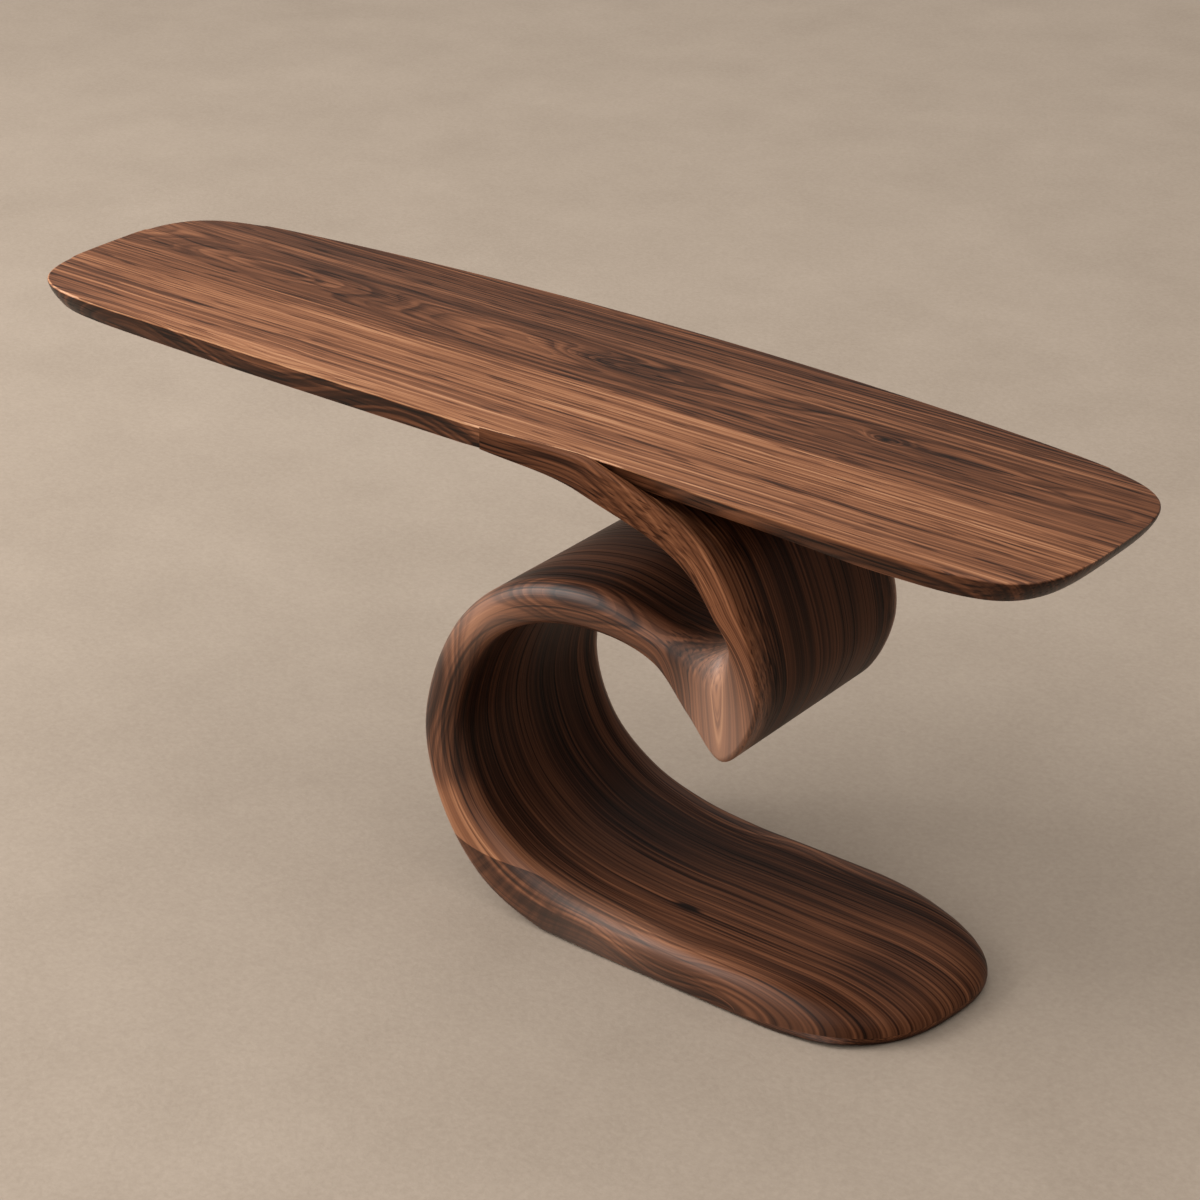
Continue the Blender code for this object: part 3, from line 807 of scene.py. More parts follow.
@dataclass
class Slab:
    """The top: four boards with rounded ends, a bowed back edge and undercut sides."""

    length: float = 1.700
    half_width: float = 0.218
    underside: float = 0.730
    upper: float = 0.760
    back_radius: float = 5.600
    end_squareness: float = 18.0
    front_squareness: float = 3.6
    back_left_squareness: float = 2.7
    back_right_squareness: float = 3.6
    end_undercut: float = 0.019
    back_undercut: float = 0.022
    front_undercut_end: float = 0.010
    front_undercut_left: float = 0.0002
    front_undercut_right: float = 0.016
    front_undercut_far: float = 0.006
    taper_end: float = -0.400
    ramp_start: float = 0.030
    split: float = 0.190
    recess_end: float = 0.450
    far_start: float = 0.600
    lip_width: float = 0.014
    recess: float = 0.006
    arris: float = 0.0032
    arris_steps: int = 3
    fullness: float = 0.7
    lip_near: Limits = (-0.10, 0.02)
    lip_far: Limits = (0.30, 0.45)
    edge_steps: int = 96
    height_steps: int = 8
    sharp: float = 20.0
    flame_places: tuple[tuple[float, float], ...] = ((-0.62, 0.016), (-0.36, -0.014), (-0.10, 0.018))
    flame_size: tuple[float, float] = (0.110, 0.018)
    seams: tuple[float, ...] = (-0.122, -0.022, 0.105)
    names: tuple[str, ...] = ("board_front", "board_middle_front", "board_middle_back", "board_back")

    def front_edge(self, x: float) -> float:
        """Measure how far the upper front arris lies from the middle line.

        Args:
            x: Place along the top.

        Returns:
            The distance.
        """
        stepped = self.lip_width * ramp(self.ramp_start, self.split, x)
        regained = (self.lip_width - self.recess) * ramp(self.split, self.recess_end, x)
        return self.half_width - stepped + regained

    def front_undercut(self, x: float) -> float:
        """Measure how far the lower front arris lies inside the upper one.

        Args:
            x: Place along the top.

        Returns:
            The distance.
        """
        fallen = ramp(-self.length / 2.0, self.taper_end, x)
        left = blend(self.front_undercut_end, self.front_undercut_left, fallen)
        middle = blend(left, self.front_undercut_right, ramp(self.ramp_start, self.split, x))
        return blend(middle, self.front_undercut_far, ramp(self.recess_end, self.far_start, x))

    def undercut(self, depth: float, x: float) -> float:
        """Share of the undercut at a share of the depth, fuller away from the ribbon's lip."""
        away = 1.0 - smooth_step(*self.lip_near, x) * (1.0 - smooth_step(*self.lip_far, x))
        return depth ** (1.0 + self.fullness * away)

    def places(self) -> list[float]:
        """Choose the places of a ring's points along the length.

        Returns:
            The places, from -1 to 1, dense at the rounded ends.
        """
        quarter = math.pi / 2.0
        steps = [2.0 * share - 1.0 for share in even_shares(self.edge_steps)]
        return [math.sin(quarter * math.sin(quarter * step)) for step in steps]

    def ring(self, depth: float) -> Ring:
        """Give the points round the top.

        Args:
            depth: Share of the thickness, 0 at the upper face and 1 at the lower one.

        Returns:
            The ring, whose points carry themselves as their grain.
        """
        z = blend(self.upper, self.underside, depth)
        bare = self.undercut(depth, -self.length)
        reach = self.length / 2.0 - bare * self.end_undercut
        spots = []
        for place in self.places():
            x = place * reach
            narrowing = max(1.0 - abs(place) ** self.end_squareness, 0.0) ** (1.0 / self.front_squareness)
            front = self.front_edge(x) - self.undercut(depth, x) * self.front_undercut(x)
            spots.append(Vector((x, -front * narrowing, z)))
        for place in self.places()[-2:0:-1]:
            x = place * reach
            squareness = self.back_left_squareness if place < 0.0 else self.back_right_squareness
            narrowing = (1.0 - abs(place) ** self.end_squareness) ** (1.0 / squareness)
            back = self.half_width - x * x / (2.0 * self.back_radius) - bare * self.back_undercut
            spots.append(Vector((x, back * narrowing, z)))
        return [(spot, spot) for spot in spots]

    def whole(self) -> bmesh.types.BMesh:
        """Make the whole top, before it is sawn into boards.

        Returns:
            One closed shape with a broken upper arris.
        """
        depths = [1.0 - share for share in even_shares(self.height_steps)]
        sweep = Sweep(self.ring(depths[0]))
        for depth in depths[1:]:
            sweep.draw(self.ring(depth))
        bmesh.ops.bevel(
            sweep.shape, geom=sweep.end.edges[:], offset=self.arris, segments=self.arris_steps,
            profile=0.5, affect="EDGES", material=-1,
        )
        return sweep.shape

    def saw(self, shape: bmesh.types.BMesh, y: float, keep_front: bool) -> None:
        """Saw a shape along its length and close the cut.

        Args:
            shape: Shape to saw.
            y: Place of the cut.
            keep_front: Whether the front part is kept.
        """
        geometry = shape.verts[:] + shape.edges[:] + shape.faces[:]
        normal = (0.0, 1.0 if keep_front else -1.0, 0.0)
        sawn = bmesh.ops.bisect_plane(
            shape, geom=geometry, plane_co=(0.0, y, 0.0), plane_no=normal, clear_outer=True
        )
        rim = [item for item in sawn["geom_cut"] if isinstance(item, bmesh.types.BMEdge)]
        bmesh.ops.edgenet_fill(shape, edges=rim)

    def finishes(self) -> list[Walnut]:
        """Choose the finishes of the boards.

        Returns:
            The finishes, from front to back.
        """
        figured = (
            Swell(-0.600, 0.046, 0.240, 0.036, 0.040),
            Swell(0.070, 0.056, 0.120, 0.020, 0.034),
            Swell(0.240, 0.078, 0.180, 0.024, 0.024),
            Swell(0.463, 0.068, 0.030, 0.012, 0.022),
            Swell(0.600, 0.068, 0.120, 0.016, 0.020),
        )
        spots = (
            Spot(0.463, 0.068, 0.008, 0.0045, -0.45),
            Spot(0.078, 0.057, 0.075, 0.015, -0.27),
            Spot(0.570, 0.066, 0.090, 0.010, -0.16),
            Spot(0.760, 0.070, 0.140, 0.120, 0.07),
            Spot(0.360, 0.045, 0.200, 0.040, 0.08),
        )
        tail = Spot(-0.790, -0.100, 0.150, 0.140, -0.12)
        shared = {
            "source": GrainSource.BOARD,
            "edge": BoardEdge(self.upper, self.arris),
            "slope": -0.30,
        }
        return [
            Walnut(
                "walnut_front_board", seed=FRONT_SEED, pith=FRONT_PITH, lift=0.05,
                swells=self.edge_flames(), spots=(tail,), **shared,
            ),
            Walnut("walnut_inner_board", seed=4.1, pith=(0.130, -0.060), lift=0.11, spots=(tail,), **shared),
            Walnut(
                "walnut_figured_board", seed=9.2, pith=(0.048, -0.045), lift=0.01, swirl=0.010, lines=0.18,
                threads=0.20, swells=figured, spots=spots, **shared,
            ),
            Walnut("walnut_back_board", seed=14.6, pith=(-0.060, -0.040), lift=-0.03, **shared),
        ]

    def edge_flames(self) -> tuple[Swell, ...]:
        """Long arcs of grain along the front edge, which run on into the ribbon."""
        size = self.flame_size
        return tuple(Swell(along, -self.half_width, *size, rise) for along, rise in self.flame_places)

    def build(self) -> None:
        """Make and dress the four boards."""
        whole = self.whole()
        fronts = (None, *self.seams)
        backs = (*self.seams, None)
        for node, front, back, finish in zip(self.names, fronts, backs, self.finishes()):
            shape = whole.copy()
            if front is not None:
                self.saw(shape, front, keep_front=False)
            if back is not None:
                self.saw(shape, back, keep_front=True)
            add_piece(node, shape, finish.material(), Slot.TOP, self.sharp)
        whole.free()


@dataclass(frozen=True)
class Station:
    """A section of the ribbon: a point on each side, the roundings of its rims and the saddle's reach."""

    outer: tuple[float, float]
    inner: tuple[float, float]
    outer_rim: float
    front_rim: float
    back_rim: float
    saddle: float = 0.0


# From the root under the top, round the fold, the arch and the heel, to the foot.
STATIONS = (
    Station((0.030, 0.7294), (0.030, 0.7297), 0.0001, 0.0001, 0.0001),
    Station((0.190, 0.713), (0.205, 0.7297), 0.003, 0.003, 0.003),
    Station((0.3235, 0.6455), (0.362, 0.6777), 0.005, 0.005, 0.016),
    Station((0.3815, 0.5715), (0.424, 0.587), 0.008, 0.006, 0.030),
    Station((0.3955, 0.5500), (0.449, 0.466), 0.024, 0.007, 0.040, 0.010),
    Station((0.3835, 0.5365), (0.395, 0.375), 0.060, 0.012, 0.032, 0.006),
    Station((0.3605, 0.5310), (0.339, 0.424), 0.052, 0.016, 0.022, 0.014),
    Station((0.300, 0.534), (0.283, 0.480), 0.028, 0.016, 0.018, 0.022),
    Station((0.180, 0.555), (0.185, 0.494), 0.027, 0.022, 0.024, 0.004),
    Station((0.037, 0.519), (0.070, 0.468), 0.027, 0.022, 0.025),
    Station((-0.063, 0.427), (-0.012, 0.405), 0.026, 0.022, 0.026),
    Station((-0.120, 0.262), (-0.060, 0.270), 0.025, 0.022, 0.026),
    Station((-0.090, 0.130), (-0.030, 0.165), 0.024, 0.022, 0.022),
    Station((-0.015, 0.040), (0.040, 0.101), 0.018, 0.024, 0.016),
    Station((0.095, 0.002), (0.125, 0.071), 0.008, 0.026, 0.012),
    Station((0.220, 0.002), (0.225, 0.060), 0.004, 0.026, 0.010),
    Station((0.300, 0.002), (0.300, 0.060), 0.004, 0.026, 0.010),
)


@dataclass
class Ribbon:
    """The folded ribbon: five staves side by side, each made of six lengths."""

    slab: Slab
    stations: tuple[Station, ...] = STATIONS
    front: float = -0.185
    stave_width: float = 0.069
    stave_count: int = 5
    neck_top: float = 0.7297
    foot_base: float = 0.002
    foot_top: float = 0.060
    lip_end: float = 0.400
    lip_hollow: float = 0.008
    flare_start: float = 0.210
    flare_end: float = 0.420
    lengths: tuple[str, ...] = ("neck", "fold", "arch", "back", "heel", "foot")
    end_joints: tuple[float, ...] = (2.7, 6.5, 9.3, 11.5, 14.6)
    stagger: float = 0.45
    toe_start: float = 0.450
    toe_length: float = 0.212
    toe_squareness: float = 2.6
    toe_skew: float = 0.022
    toe_roll: float = 0.130
    toe_edge: float = 0.012
    toe_tuck: float = 0.004
    toe_steps: int = 26
    tuck_steps: int = 4
    tuck_power: int = 3
    span_steps: int = 14
    span_clearance: float = 0.3
    flat_steps: int = 6
    rim_steps: int = 9
    least_rim: float = 0.0001
    widest_rim: float = 0.067
    face_steps: int = 6
    tip_place: float = 5.0
    tip_reach: float = 2.2
    tip_spine: float = 0.08
    fan_width: float = 0.069
    fan_turn: float = 0.100
    fan_spread: float = 0.65
    fan_power: float = 1.5
    plain_thickness: float = 0.060
    root_thickness: float = 0.034
    root_end: float = 2.0
    scarf_rise: float = 0.012
    flame_places: tuple[tuple[float, float], ...] = (
        (0.75, 0.018), (8.2, 0.020), (9.4, -0.016), (10.6, 0.022), (14.8, 0.010), (15.9, -0.018),
    )
    flame_size: tuple[float, float] = (0.090, 0.050)
    plate: str = "ballast_plate"
    pocket_fit: float = 0.0003
    sharp: float = 35.0
    run: list[float] = field(default_factory=list)
    run_steps: int = 40

    def __post_init__(self) -> None:
        """Measure the way along the middle of the ribbon, so that it starts at its root's X."""
        self.run = [self.stations[0].outer[0]]
        places = [step / self.run_steps for step in range(self.last * self.run_steps + 1)]
        spots = [sum(self.sides(place), Vector()) / 2.0 for place in places]
        for before, after in zip(spots, spots[1:]):
            self.run.append(self.run[-1] + (after - before).length)

    @property
    def last(self) -> int:
        """Number of the last station."""
        return len(self.stations) - 1

    @property
    def back(self) -> float:
        """Y of the back face."""
        return self.front + self.stave_count * self.stave_width

    def way(self, place: float) -> float:
        """Length of the way from the root to a place, counted in stations."""
        index = min(int(place * self.run_steps), len(self.run) - 2)
        return blend(self.run[index], self.run[index + 1], place * self.run_steps - index)

    def curve(self, points: Sequence[tuple[float, float]], place: float) -> Vector:
        """Follow a smooth curve through points of the side view.

        Args:
            points: X and Z of each point.
            place: Place on the curve, counted in points.

        Returns:
            The point at that place, with Y at 0.
        """
        spots = [Vector((x, 0.0, z)) for x, z in points]
        index = min(int(place), len(spots) - 2)
        first, second = spots[index], spots[index + 1]
        before = spots[index - 1] if index > 0 else 2.0 * first - second
        after = spots[index + 2] if index + 2 < len(spots) else 2.0 * second - first
        chords = ((before, first), (first, second), (second, after))
        spans = [math.sqrt((end - start).length) for start, end in chords]
        here = (second - first) / spans[1]
        leave = (first - before) / spans[0] - (second - before) / (spans[0] + spans[1]) + here
        arrive = (after - second) / spans[2] - (after - first) / (spans[1] + spans[2]) + here
        share = place - index
        square, cube = share ** 2, share ** 3
        point = first * (2.0 * cube - 3.0 * square + 1.0) + second * (3.0 * square - 2.0 * cube)
        return point + spans[1] * (leave * (cube - 2.0 * square + share) + arrive * (cube - square))

    def sides(self, place: float) -> tuple[Vector, Vector]:
        """Give the two sides of the ribbon.

        Args:
            place: Place along the ribbon, counted in stations.

        Returns:
            The outer and the inner point at that place, with Y at 0.
        """
        outer = self.curve([station.outer for station in self.stations], place)
        inner = self.curve([station.inner for station in self.stations], place)
        outer.z = max(outer.z, self.foot_base)
        inner.z = min(inner.z, self.neck_top)
        return outer, inner

    def rims(self, place: float, stave: int) -> tuple[Rim, Rim]:
        """Give the reach and drop of a stave's outer and inner rim.

        Args:
            place: Place along the ribbon, counted in stations.
            stave: Number of the stave, from 0 at the front.

        Returns:
            The outer and the inner rim.
        """
        outer = self.smoothly([station.outer_rim for station in self.stations], place)
        saddle = self.smoothly([station.saddle for station in self.stations], place)
        inner = self.smoothly(
            [station.back_rim if stave else station.front_rim for station in self.stations], place
        )
        return (min(outer + saddle, self.widest_rim), outer), (inner, inner)

    def smoothly(self, values: Sequence[float], place: float) -> float:
        """Follow a smooth curve through one small size per station."""
        return max(self.curve(list(enumerate(values)), place).z, self.least_rim)

    def rounding(self, face: float, rim: Rim, inwards: float) -> list[tuple[float, float]]:
        """Give the points of a rounded rim.

        Args:
            face: Y of the free face.
            rim: Reach and drop of the rounding.
            inwards: 1 if the wood lies behind the face, -1 if it lies in front of it.

        Returns:
            Y and drop of each point, from the inside to the face.
        """
        reach, drop = rim
        points = []
        for share in even_shares(self.rim_steps):
            turn = math.pi / 2.0 * share
            points.append((face + inwards * reach * (1.0 - math.sin(turn)), drop * (1.0 - math.cos(turn))))
        return points

    def profile(self, stave: int, rim: Rim) -> list[tuple[float, float]]:
        """Give the points across a stave, with its free side rounded.

        Args:
            stave: Number of the stave, from 0 at the front.
            rim: Reach and drop of the rounding.

        Returns:
            Y and drop of each point, from the inside to the free side.
        """
        front = self.front + stave * self.stave_width
        back = front + self.stave_width
        shares = even_shares(self.flat_steps)
        if 0 < stave < self.stave_count - 1:
            return [(blend(front, back, share), 0.0) for share in shares]
        if stave == 0:
            inside, rounded = back, self.rounding(front, rim, 1.0)
        else:
            inside, rounded = front, self.rounding(back, rim, -1.0)
        return [(blend(inside, rounded[0][0], share), 0.0) for share in shares[:-1]] + rounded

    def between(self, low: tuple[float, float], high: tuple[float, float]) -> list[tuple[float, float]]:
        """Points that divide a free face from its outer to its inner rim."""
        shares = even_shares(self.face_steps)[1:-1]
        return [(blend(low[0], high[0], share), blend(low[1], high[1], share)) for share in shares]

    def is_free(self, stave: int) -> bool:
        """Whether a stave is the first or the last one, with a free side."""
        return stave in (0, self.stave_count - 1)

    def grain(self, place: float, y: float, share: float) -> Vector:
        """Give the coordinates of the grain, which fans out on the free sides of the fold.

        Args:
            place: Place along the ribbon, counted in stations.
            y: Place across it.
            share: Share of the way from the outer to the inner side.

        Returns:
            Coordinates along, across, and below the inner side.
        """
        unit = blend(self.root_thickness, self.plain_thickness, ramp(0.0, self.root_end, place))
        away = min(math.hypot((place - self.tip_place) / self.tip_reach, self.tip_spine), 1.0)
        inside = smooth_step(0.0, self.fan_width, min(y - self.front, self.back - y))
        fan = (1.0 - away) ** self.fan_power * (1.0 - inside)
        depth = (share * (1.0 - self.fan_spread * fan) - 1.0) * unit - self.fan_turn * fan
        return Vector((self.way(place), y, depth))

    def ring(self, place: float, stave: int) -> Ring:
        """Give the section of a stave.

        Args:
            place: Place along the ribbon, counted in stations.
            stave: Number of the stave, from 0 at the front.

        Returns:
            The points round the section, with their grain.
        """
        outer, inner = self.sides(place)
        thickness = (inner - outer).length
        across = (inner - outer) / thickness
        outer_rim, inner_rim = self.rims(place, stave)
        low = self.profile(stave, outer_rim)
        high = [(y, thickness - drop) for y, drop in self.profile(stave, inner_rim)]
        middle = self.between(low[-1], high[-1]) if self.is_free(stave) else []
        ring = []
        for y, height in low + middle + high[::-1]:
            spot = outer + across * height
            ring.append((Vector((spot.x, y, spot.z)), self.grain(place, y, height / thickness)))
        return ring

    def lip_ring(self, place: float) -> Ring:
        """Give the section of the front stave's neck, whose lip rises in front of the top.

        Args:
            place: Place along the ribbon, counted in stations.

        Returns:
            The points round the section, with their grain.
        """
        outer, inner = self.sides(place)
        across = (inner - outer).normalized()
        outer_rim, inner_rim = self.rims(place, 0)
        slab = self.slab
        x = inner.x
        face = blend(slab.half_width, -self.front, smooth_step(self.flare_start, self.flare_end, x))
        crest = inner.copy()
        if x <= slab.split:
            crest.z = slab.upper
            lip_back = slab.front_edge(x)
            hollow = lip_back - slab.front_undercut(x)
        else:
            crest.z += (slab.upper - self.neck_top) * (1.0 - ramp(slab.split, self.lip_end, x))
            lip_back = face - slab.lip_width
            hollow = lip_back - self.lip_hollow
        total = (crest - outer).length
        inside = self.front + self.stave_width
        low = self.rounding(-face, outer_rim, 1.0)
        high = self.rounding(-face, inner_rim, 1.0)
        bare = even_shares(self.flat_steps)[:-1]
        spots = [(outer, blend(inside, low[0][0], share)) for share in bare]
        spots += [(outer + across * drop, y) for y, drop in low]
        foot, head = outer + across * low[-1][1], crest - across * high[-1][1]
        spots += [(blend(foot, head, share), -face) for share in even_shares(self.face_steps)[1:-1]]
        spots += [(crest - across * drop, y) for y, drop in high[::-1]]
        spots += [(crest, -lip_back), (blend(crest, inner, 0.5), -(lip_back + hollow) / 2.0)]
        spots += [(inner, -blend(hollow, -inside, share)) for share in bare]
        spots.append((inner, inside))
        ring = []
        for spot, y in spots:
            share = min((spot - outer).length / total, 1.0)
            ring.append((Vector((spot.x, y, spot.z)), self.grain(place, y, share)))
        return ring

    def toe_reach(self, y: float) -> float:
        """Measure how far the toe reaches.

        Args:
            y: Place across the ribbon.

        Returns:
            X of the toe's end there.
        """
        middle = (self.front + self.back) / 2.0
        side = min(max((y - middle) / (self.back - middle), -1.0), 1.0)
        round_part = (1.0 - abs(side) ** self.toe_squareness) ** (1.0 / self.toe_squareness)
        return self.toe_start + self.toe_length * round_part + self.toe_skew * side

    def toe_ring(self, share: float, stave: int, tuck: float = 0.0) -> Ring:
        """Give a section of the toe.

        Args:
            share: Share of the way to the toe's end.
            stave: Number of the stave, from 0 at the front.
            tuck: Share of the way down the toe's rounded edge.

        Returns:
            The points round the section, with their grain.
        """
        start = self.stations[-1].outer[0]
        height = self.foot_top - self.foot_base
        outer_rim, inner_rim = self.rims(self.last, stave)
        low = []
        for y, drop in self.profile(stave, outer_rim):
            x = blend(start, self.toe_reach(y) - self.toe_tuck, share)
            low.append((Vector((x, y, self.foot_base + drop)), drop / height))
        high = []
        for y, drop in self.profile(stave, inner_rim):
            x = blend(start, self.toe_reach(y), share)
            rolled = max(1.0 - (self.toe_reach(y) - x) / self.toe_roll, 0.0)
            rise = self.toe_edge + (height - self.toe_edge) * math.sqrt(1.0 - rolled ** 2)
            high.append((Vector((x, y, self.foot_base + rise - drop * rise / height)), 1.0 - drop / height))
        if tuck:
            high = [self.tucked(under, over, tuck) for under, over in zip(low, high)]
        middle = []
        if self.is_free(stave):
            ends = list(zip(low[-1], high[-1]))
            for part in even_shares(self.face_steps)[1:-1]:
                middle.append(tuple(blend(under, over, part) for under, over in ends))
        ring = []
        for spot, depth in low + middle + high[::-1]:
            way = self.way(self.last) + spot.x - start
            ring.append((spot, Vector((way, spot.y, (depth - 1.0) * self.plain_thickness))))
        return ring

    def tucked(self, under: SunkPoint, over: SunkPoint, tuck: float) -> SunkPoint:
        """Slide a point of the toe's edge down and under, and its depth in the wood with it.

        Args:
            under: Point of the lower side, with its depth.
            over: Point of the upper side, with its depth.
            tuck: Share of the way down.

        Returns:
            The point on its way, with its depth.
        """
        spot = blend(over[0], under[0], tuck)
        spot.x = blend(over[0].x, under[0].x, tuck ** self.tuck_power)
        return spot, blend(over[1], under[1], tuck)

    def length_shape(self, stave: int, name: str, start: float, end: float) -> bmesh.types.BMesh:
        """Make one length of a stave.

        Args:
            stave: Number of the stave, from 0 at the front.
            name: Name of the length.
            start: Place where it starts, counted in stations.
            end: Place where it ends.

        Returns:
            The closed shape.
        """
        clear = self.span_clearance / self.span_steps
        steps = [step / self.span_steps for step in range(self.last * self.span_steps + 1)]
        places = [start] + [place for place in steps if start + clear < place < end - clear] + [end]
        lipped = stave == 0 and name == self.lengths[0]
        rings = [self.lip_ring(place) if lipped else self.ring(place, stave) for place in places]
        if name == self.lengths[-1]:
            turns = [math.pi / 2.0 * share for share in even_shares(self.toe_steps)[1:]]
            rings += [self.toe_ring(math.sin(turn), stave) for turn in turns]
            rings += [self.toe_ring(1.0, stave, tuck) for tuck in even_shares(self.tuck_steps)[1:]]
        sweep = Sweep(rings[0])
        for ring in rings[1:]:
            sweep.draw(ring)
        if name == self.lengths[-1]:
            sweep.close()
        return sweep.shape

    def pocket(self) -> bpy.types.Object:
        """Make the shape that cuts the plate's pocket into the foot.

        Returns:
            The cutter, which isn't in the scene yet.
        """
        low, high = (Vector(corner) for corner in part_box(self.plate))
        fit = Vector((self.pocket_fit, self.pocket_fit, self.pocket_fit))
        low = low - fit - Vector((0.0, 0.0, self.foot_base))
        high = high + fit
        shape = bmesh.new()
        bmesh.ops.create_cube(shape, size=1.0)
        bmesh.ops.scale(shape, verts=shape.verts, vec=high - low)
        bmesh.ops.translate(shape, verts=shape.verts, vec=(low + high) / 2.0)
        mesh = bpy.data.meshes.new("pocket")
        shape.to_mesh(mesh)
        shape.free()
        return bpy.data.objects.new("pocket", mesh)

    def hollow(self, piece: bpy.types.Object, cutter: bpy.types.Object) -> None:
        """Cut a shape out of a piece for good.

        Args:
            piece: Piece to cut.
            cutter: Shape that is cut out.
        """
        modifier = piece.modifiers.new("pocket", "BOOLEAN")
        modifier.operation = "DIFFERENCE"
        modifier.solver = "EXACT"
        modifier.object = cutter
        seen = piece.evaluated_get(bpy.context.evaluated_depsgraph_get())
        mesh = bpy.data.meshes.new_from_object(seen)
        piece.modifiers.remove(modifier)
        plain = piece.data
        piece.data = mesh
        bpy.data.meshes.remove(plain)
        mesh.name = piece.name

    def flames(self, side: float) -> tuple[Swell, ...]:
        """Long arcs of grain along a free side."""
        places = ((self.way(place), rise) for place, rise in self.flame_places)
        return tuple(Swell(along, side, *self.flame_size, rise) for along, rise in places)

    def finishes(self) -> list[Walnut]:
        """Choose the finishes of the staves.

        Returns:
            The finishes, from front to back.
        """
        scarf = Scarf(
            start=self.way(11.9), end=self.way(13.7), base=-self.plain_thickness,
            height=self.plain_thickness + self.scarf_rise, fade_in=self.way(11.55),
            fade_out=self.way(14.2), curl_out=self.way(15.2),
        )
        toe_base = self.way(self.last)
        # Middle along and across, reach along and across, and what is added to the tone, from root to toe.
        root = Spot(self.way(0.0), -self.slab.half_width, 0.180, 0.080, -0.13)
        chin = Spot(self.way(4.20), self.front + 0.045, 0.046, 0.046, -0.12)
        # Paler wood with a painted sheen on the front of the fold.
        fold_pale_sheen = Spot(self.way(5.0), self.front, 0.054, 0.046, 0.20, pale_sheen=0.27)
        flank = Spot(self.way(6.4), self.front, 0.046, 0.036, -0.10)
        # Painted shade in the cleft under the neck, on the inner staves.
        cleft_shade = Spot(self.way(6.6), 0.050, 0.080, 0.300, -0.17)
        # Painted shade in the cleft under the neck, on the first stave's inner half.
        corner = Spot(self.way(6.8), self.front + 0.062, 0.100, 0.026, -0.20)
        crest = Spot(self.way(8.6), 0.020, 0.170, 0.400, 0.08)
        shade = Spot(self.way(9.3), self.front, 0.240, 0.060, -0.13)
        # Painted highlight on the arch's front rim.
        sheen = Spot(self.way(9.60), self.front, 0.075, 0.040, 0.22, pale_sheen=0.14)
        nape = Spot(self.way(10.8), self.front, 0.110, 0.060, -0.12)
        # Painted shade inside the loop.
        loop = Spot(self.way(11.2), 0.0, 0.300, 0.500, -0.08)
        basin = Spot(self.way(13.8), 0.050, 0.130, 0.110, -0.06)
        # Painted sheen along the foot's front rim.
        rim = Spot(self.way(14.7), self.front + 0.014, 0.110, 0.024, 0.11, pale_sheen=0.14)
        fleck = Spot(self.way(15.65), -0.082, 0.016, 0.0045, -0.9)
        shin = Spot(self.way(15.8), self.front, 0.240, 0.060, -0.09)
        instep = Spot(toe_base, self.front + 0.050, 0.250, 0.032, 0.19)
        outside = Spot(toe_base + 0.240, self.back - 0.040, 0.120, 0.055, -0.17)
        sole = Spot(toe_base + 0.245, self.front + 0.015, 0.105, 0.052, -0.27)
        pad = Spot(toe_base + 0.272, -0.045, 0.075, 0.062, -0.23)
        toe = Spot(toe_base + 0.300, 0.0, 0.160, 0.400, 0.17)
        plain = {"source": GrainSource.STAVE, "roughness": 0.40, "gloss": 0.09, "pores": 2.5}
        foot = FloorShade(self.way(15.0))
        inner = {"streaks": 0.08, "threads": 0.12, "lines": 0.07, "floor": foot, **plain}
        below_neck = self.way(2.8)
        return [
            Walnut(
                "walnut_first_stave", seed=FRONT_SEED, pith=FRONT_PITH, lift=-0.22, streaks=0.11,
                threads=0.20, side=FreeSide(self.front, polish=0.60, polish_start=below_neck),
                floor=FloorShade(self.way(13.3)), scarf=scarf,
                swells=self.slab.edge_flames()[-1:] + self.flames(self.front),
                spots=(fold_pale_sheen, shade, root, nape, shin, rim, instep, toe, corner, sole, sheen, flank, chin),
                **plain,
            ),
            Walnut(
                "walnut_second_stave", seed=6.8, pith=(0.060, -0.090), lift=-0.21,
                spots=(fleck, toe, cleft_shade, loop, crest, instep, pad), **inner,
            ),
            Walnut(
                "walnut_third_stave", seed=11.5, pith=(0.160, -0.110), lift=-0.22,
                spots=(toe, cleft_shade, loop, crest, pad, basin), **inner,
            ),
            Walnut(
                "walnut_fourth_stave", seed=16.1, pith=(-0.060, -0.120), lift=-0.21,
                spots=(toe, cleft_shade, loop, crest, outside, basin), **inner,
            ),
            Walnut(
                "walnut_fifth_stave", seed=21.7, pith=(0.020, 0.080), lift=-0.26, streaks=0.14, threads=0.20,
                side=FreeSide(self.back, polish=0.40, polish_start=below_neck), floor=foot,
                swells=self.flames(self.back), spots=(toe, cleft_shade, loop, outside), **plain,
            ),
        ]

    def build(self) -> None:
        """Make and dress every length of every stave."""
        cutter = self.pocket()
        bpy.context.scene.collection.objects.link(cutter)
        for stave, finish in enumerate(self.finishes()):
            material = finish.material()
            shift = self.stagger if stave % 2 else 0.0
            limits = [0.0, *(joint + shift for joint in self.end_joints), float(self.last)]
            for name, start, end in zip(self.lengths, limits, limits[1:]):
                node = f"stave_{stave + 1}_{name}"
                slot = Slot.LIGHT_STAVE if stave % 2 else Slot.DARK_STAVE
                shape = self.length_shape(stave, name, start, end)
                piece = add_piece(node, shape, material, slot, self.sharp)
                if name == self.lengths[-1] and not self.is_free(stave):
                    self.hollow(piece, cutter)
        bpy.data.meshes.remove(cutter.data)


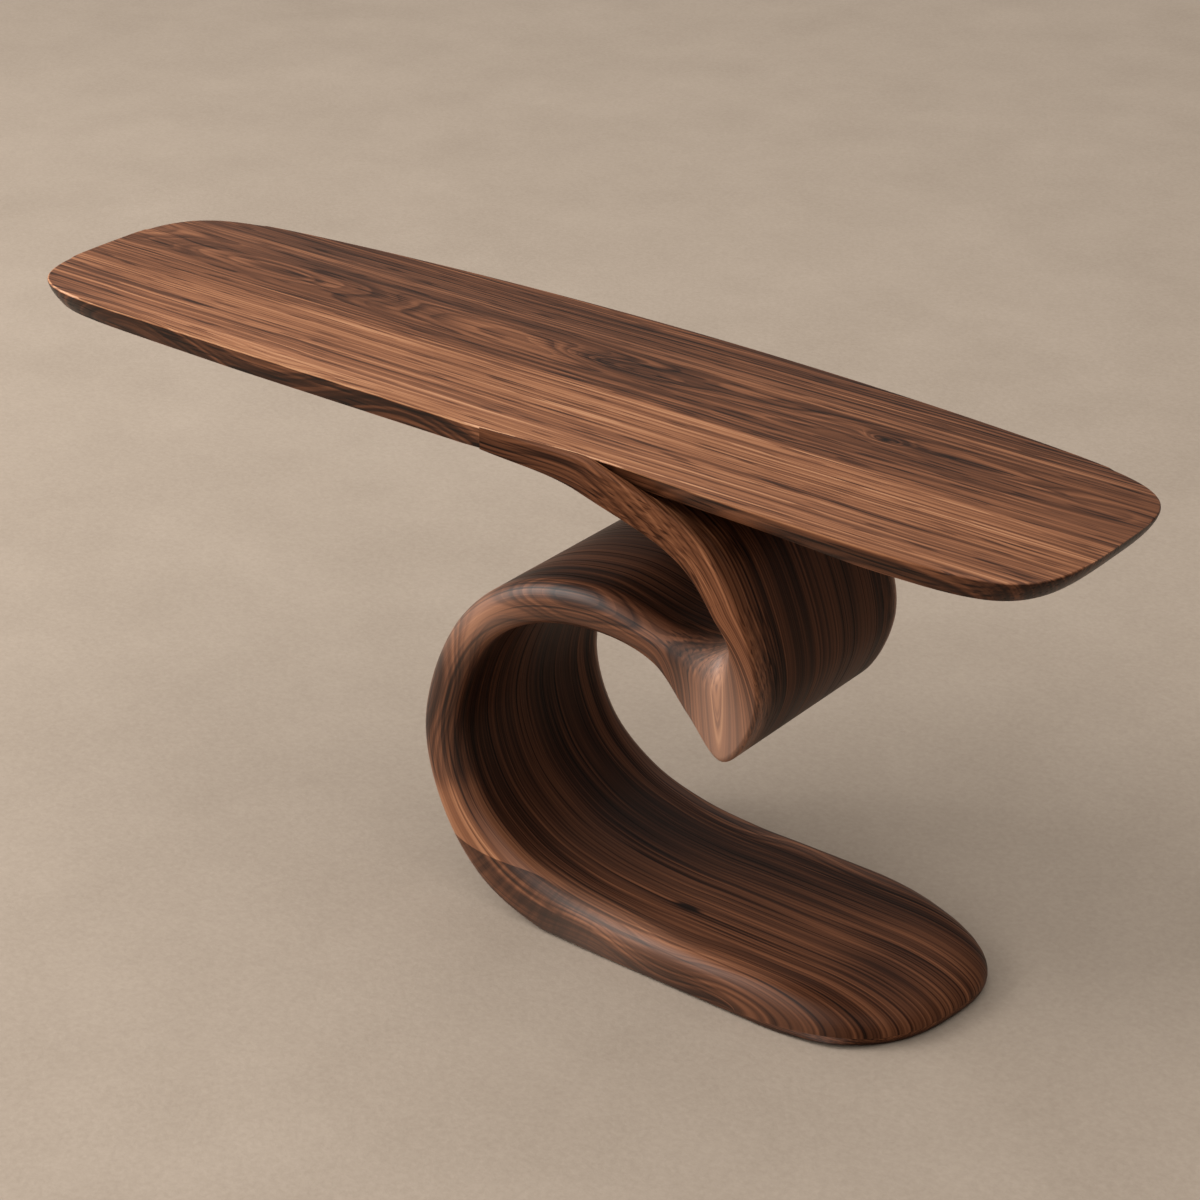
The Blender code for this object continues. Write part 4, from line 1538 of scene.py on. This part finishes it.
@dataclass(frozen=True)
class Fittings:
    """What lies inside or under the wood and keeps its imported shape."""

    wooden: tuple[str, ...] = ("spline_", "cross_dowel_", "root_dowel_")
    steel: tuple[str, ...] = ("ballast_",)
    felt: tuple[str, ...] = ("glide_",)

    def dress(self) -> None:
        """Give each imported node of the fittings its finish."""
        for starts, finish in ((self.wooden, BEECH), (self.steel, STEEL), (self.felt, FELT)):
            material = finish.material()
            for name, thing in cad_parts.items():
                if name.startswith(starts):
                    for slot in thing.material_slots:
                        slot.material = material
                    LOG.info("%s: %s", name, material.name)


@dataclass(frozen=True)
class Studio:
    """Floor, soft light and camera."""

    floor_size: float = 40.0
    camera_place: tuple[float, float, float] = (2.30696, -2.89018, 2.28209)
    azimuth: float = 37.901
    elevation: float = 26.784
    lens: float = 89.2446
    sensor: float = 36.0
    key_way: tuple[float, float, float] = (-0.25, -0.28, 0.93)
    key_spread: float = 120.0
    key_level: float = 1.95
    side_place: tuple[float, float, float] = (-4.5, -2.8, 3.4)
    side_aim: tuple[float, float, float] = (0.0, 0.0, 0.4)
    side_size: float = 4.8
    side_power: float = 240.0
    accent_place: tuple[float, float, float] = (-4.6, -2.6, 3.6)
    accent_size: float = 1.3
    accent_power: float = 55.0
    lamp_colour: tuple[float, float, float] = (1.0, 0.97, 0.93)
    room_colour: Colour = (1.0, 0.93, 0.85, 1.0)
    room_level: float = 0.22

    def floor(self) -> None:
        """Lay the floor."""
        shape = bmesh.new()
        bmesh.ops.create_grid(shape, x_segments=1, y_segments=1, size=self.floor_size / 2.0)
        mesh = bpy.data.meshes.new("floor")
        shape.to_mesh(mesh)
        shape.free()
        mesh.materials.append(PLASTER.material())
        floor = bpy.data.objects.new("floor", mesh)
        bpy.context.scene.collection.objects.link(floor)

    def lights(self) -> None:
        """Hang a wide light overhead and two soft ones at the left, and light the room evenly."""
        sky = bpy.data.lights.new("key", "SUN")
        sky.angle = math.radians(self.key_spread)
        sky.energy = self.key_level
        self.hang(sky, self.key_way, (0.0, 0.0, 0.0))
        lamps = (
            ("side", self.side_place, self.side_size, self.side_power),
            ("accent", self.accent_place, self.accent_size, self.accent_power),
        )
        for name, spot, size, power in lamps:
            lamp = bpy.data.lights.new(name, "AREA")
            lamp.shape = "DISK"
            lamp.size = size
            lamp.energy = power
            self.hang(lamp, spot, self.side_aim)
        world = bpy.data.worlds.new("room")
        world.use_nodes = True
        background = world.node_tree.nodes["Background"]
        background.inputs["Color"].default_value = self.room_colour
        background.inputs["Strength"].default_value = self.room_level
        bpy.context.scene.world = world

    def hang(self, light: bpy.types.Light, spot: Sequence[float], aim: Sequence[float]) -> None:
        """Hang a light and turn it to what it lights.

        Args:
            light: The light.
            spot: Where it hangs.
            aim: The point that it is turned to.
        """
        light.color = self.lamp_colour
        hung = bpy.data.objects.new(light.name, light)
        hung.location = spot
        hung.rotation_euler = (Vector(aim) - Vector(spot)).to_track_quat("-Z", "Y").to_euler()
        bpy.context.scene.collection.objects.link(hung)

    def camera(self) -> None:
        """Set up the camera at the angle of the photograph."""
        turn, rise = math.radians(self.azimuth), math.radians(self.elevation)
        back = Vector((math.sin(turn) * math.cos(rise), -math.cos(turn) * math.cos(rise), math.sin(rise)))
        data = bpy.data.cameras.new("camera")
        data.lens = self.lens
        data.sensor_width = self.sensor
        camera = bpy.data.objects.new("camera", data)
        camera.location = self.camera_place
        camera.rotation_euler = (-back).to_track_quat("-Z", "Y").to_euler()
        bpy.context.scene.collection.objects.link(camera)
        bpy.context.scene.camera = camera

    def build(self) -> None:
        """Set the stage."""
        self.floor()
        self.lights()
        self.camera()
        bpy.context.scene.view_settings.view_transform = "Standard"


def main() -> None:
    """Build the whole scene."""
    logging.basicConfig(level=logging.INFO, format="%(message)s")
    Studio().build()
    slab = Slab()
    slab.build()
    Ribbon(slab).build()
    Fittings().dress()


if __name__ == "__main__":
    main()
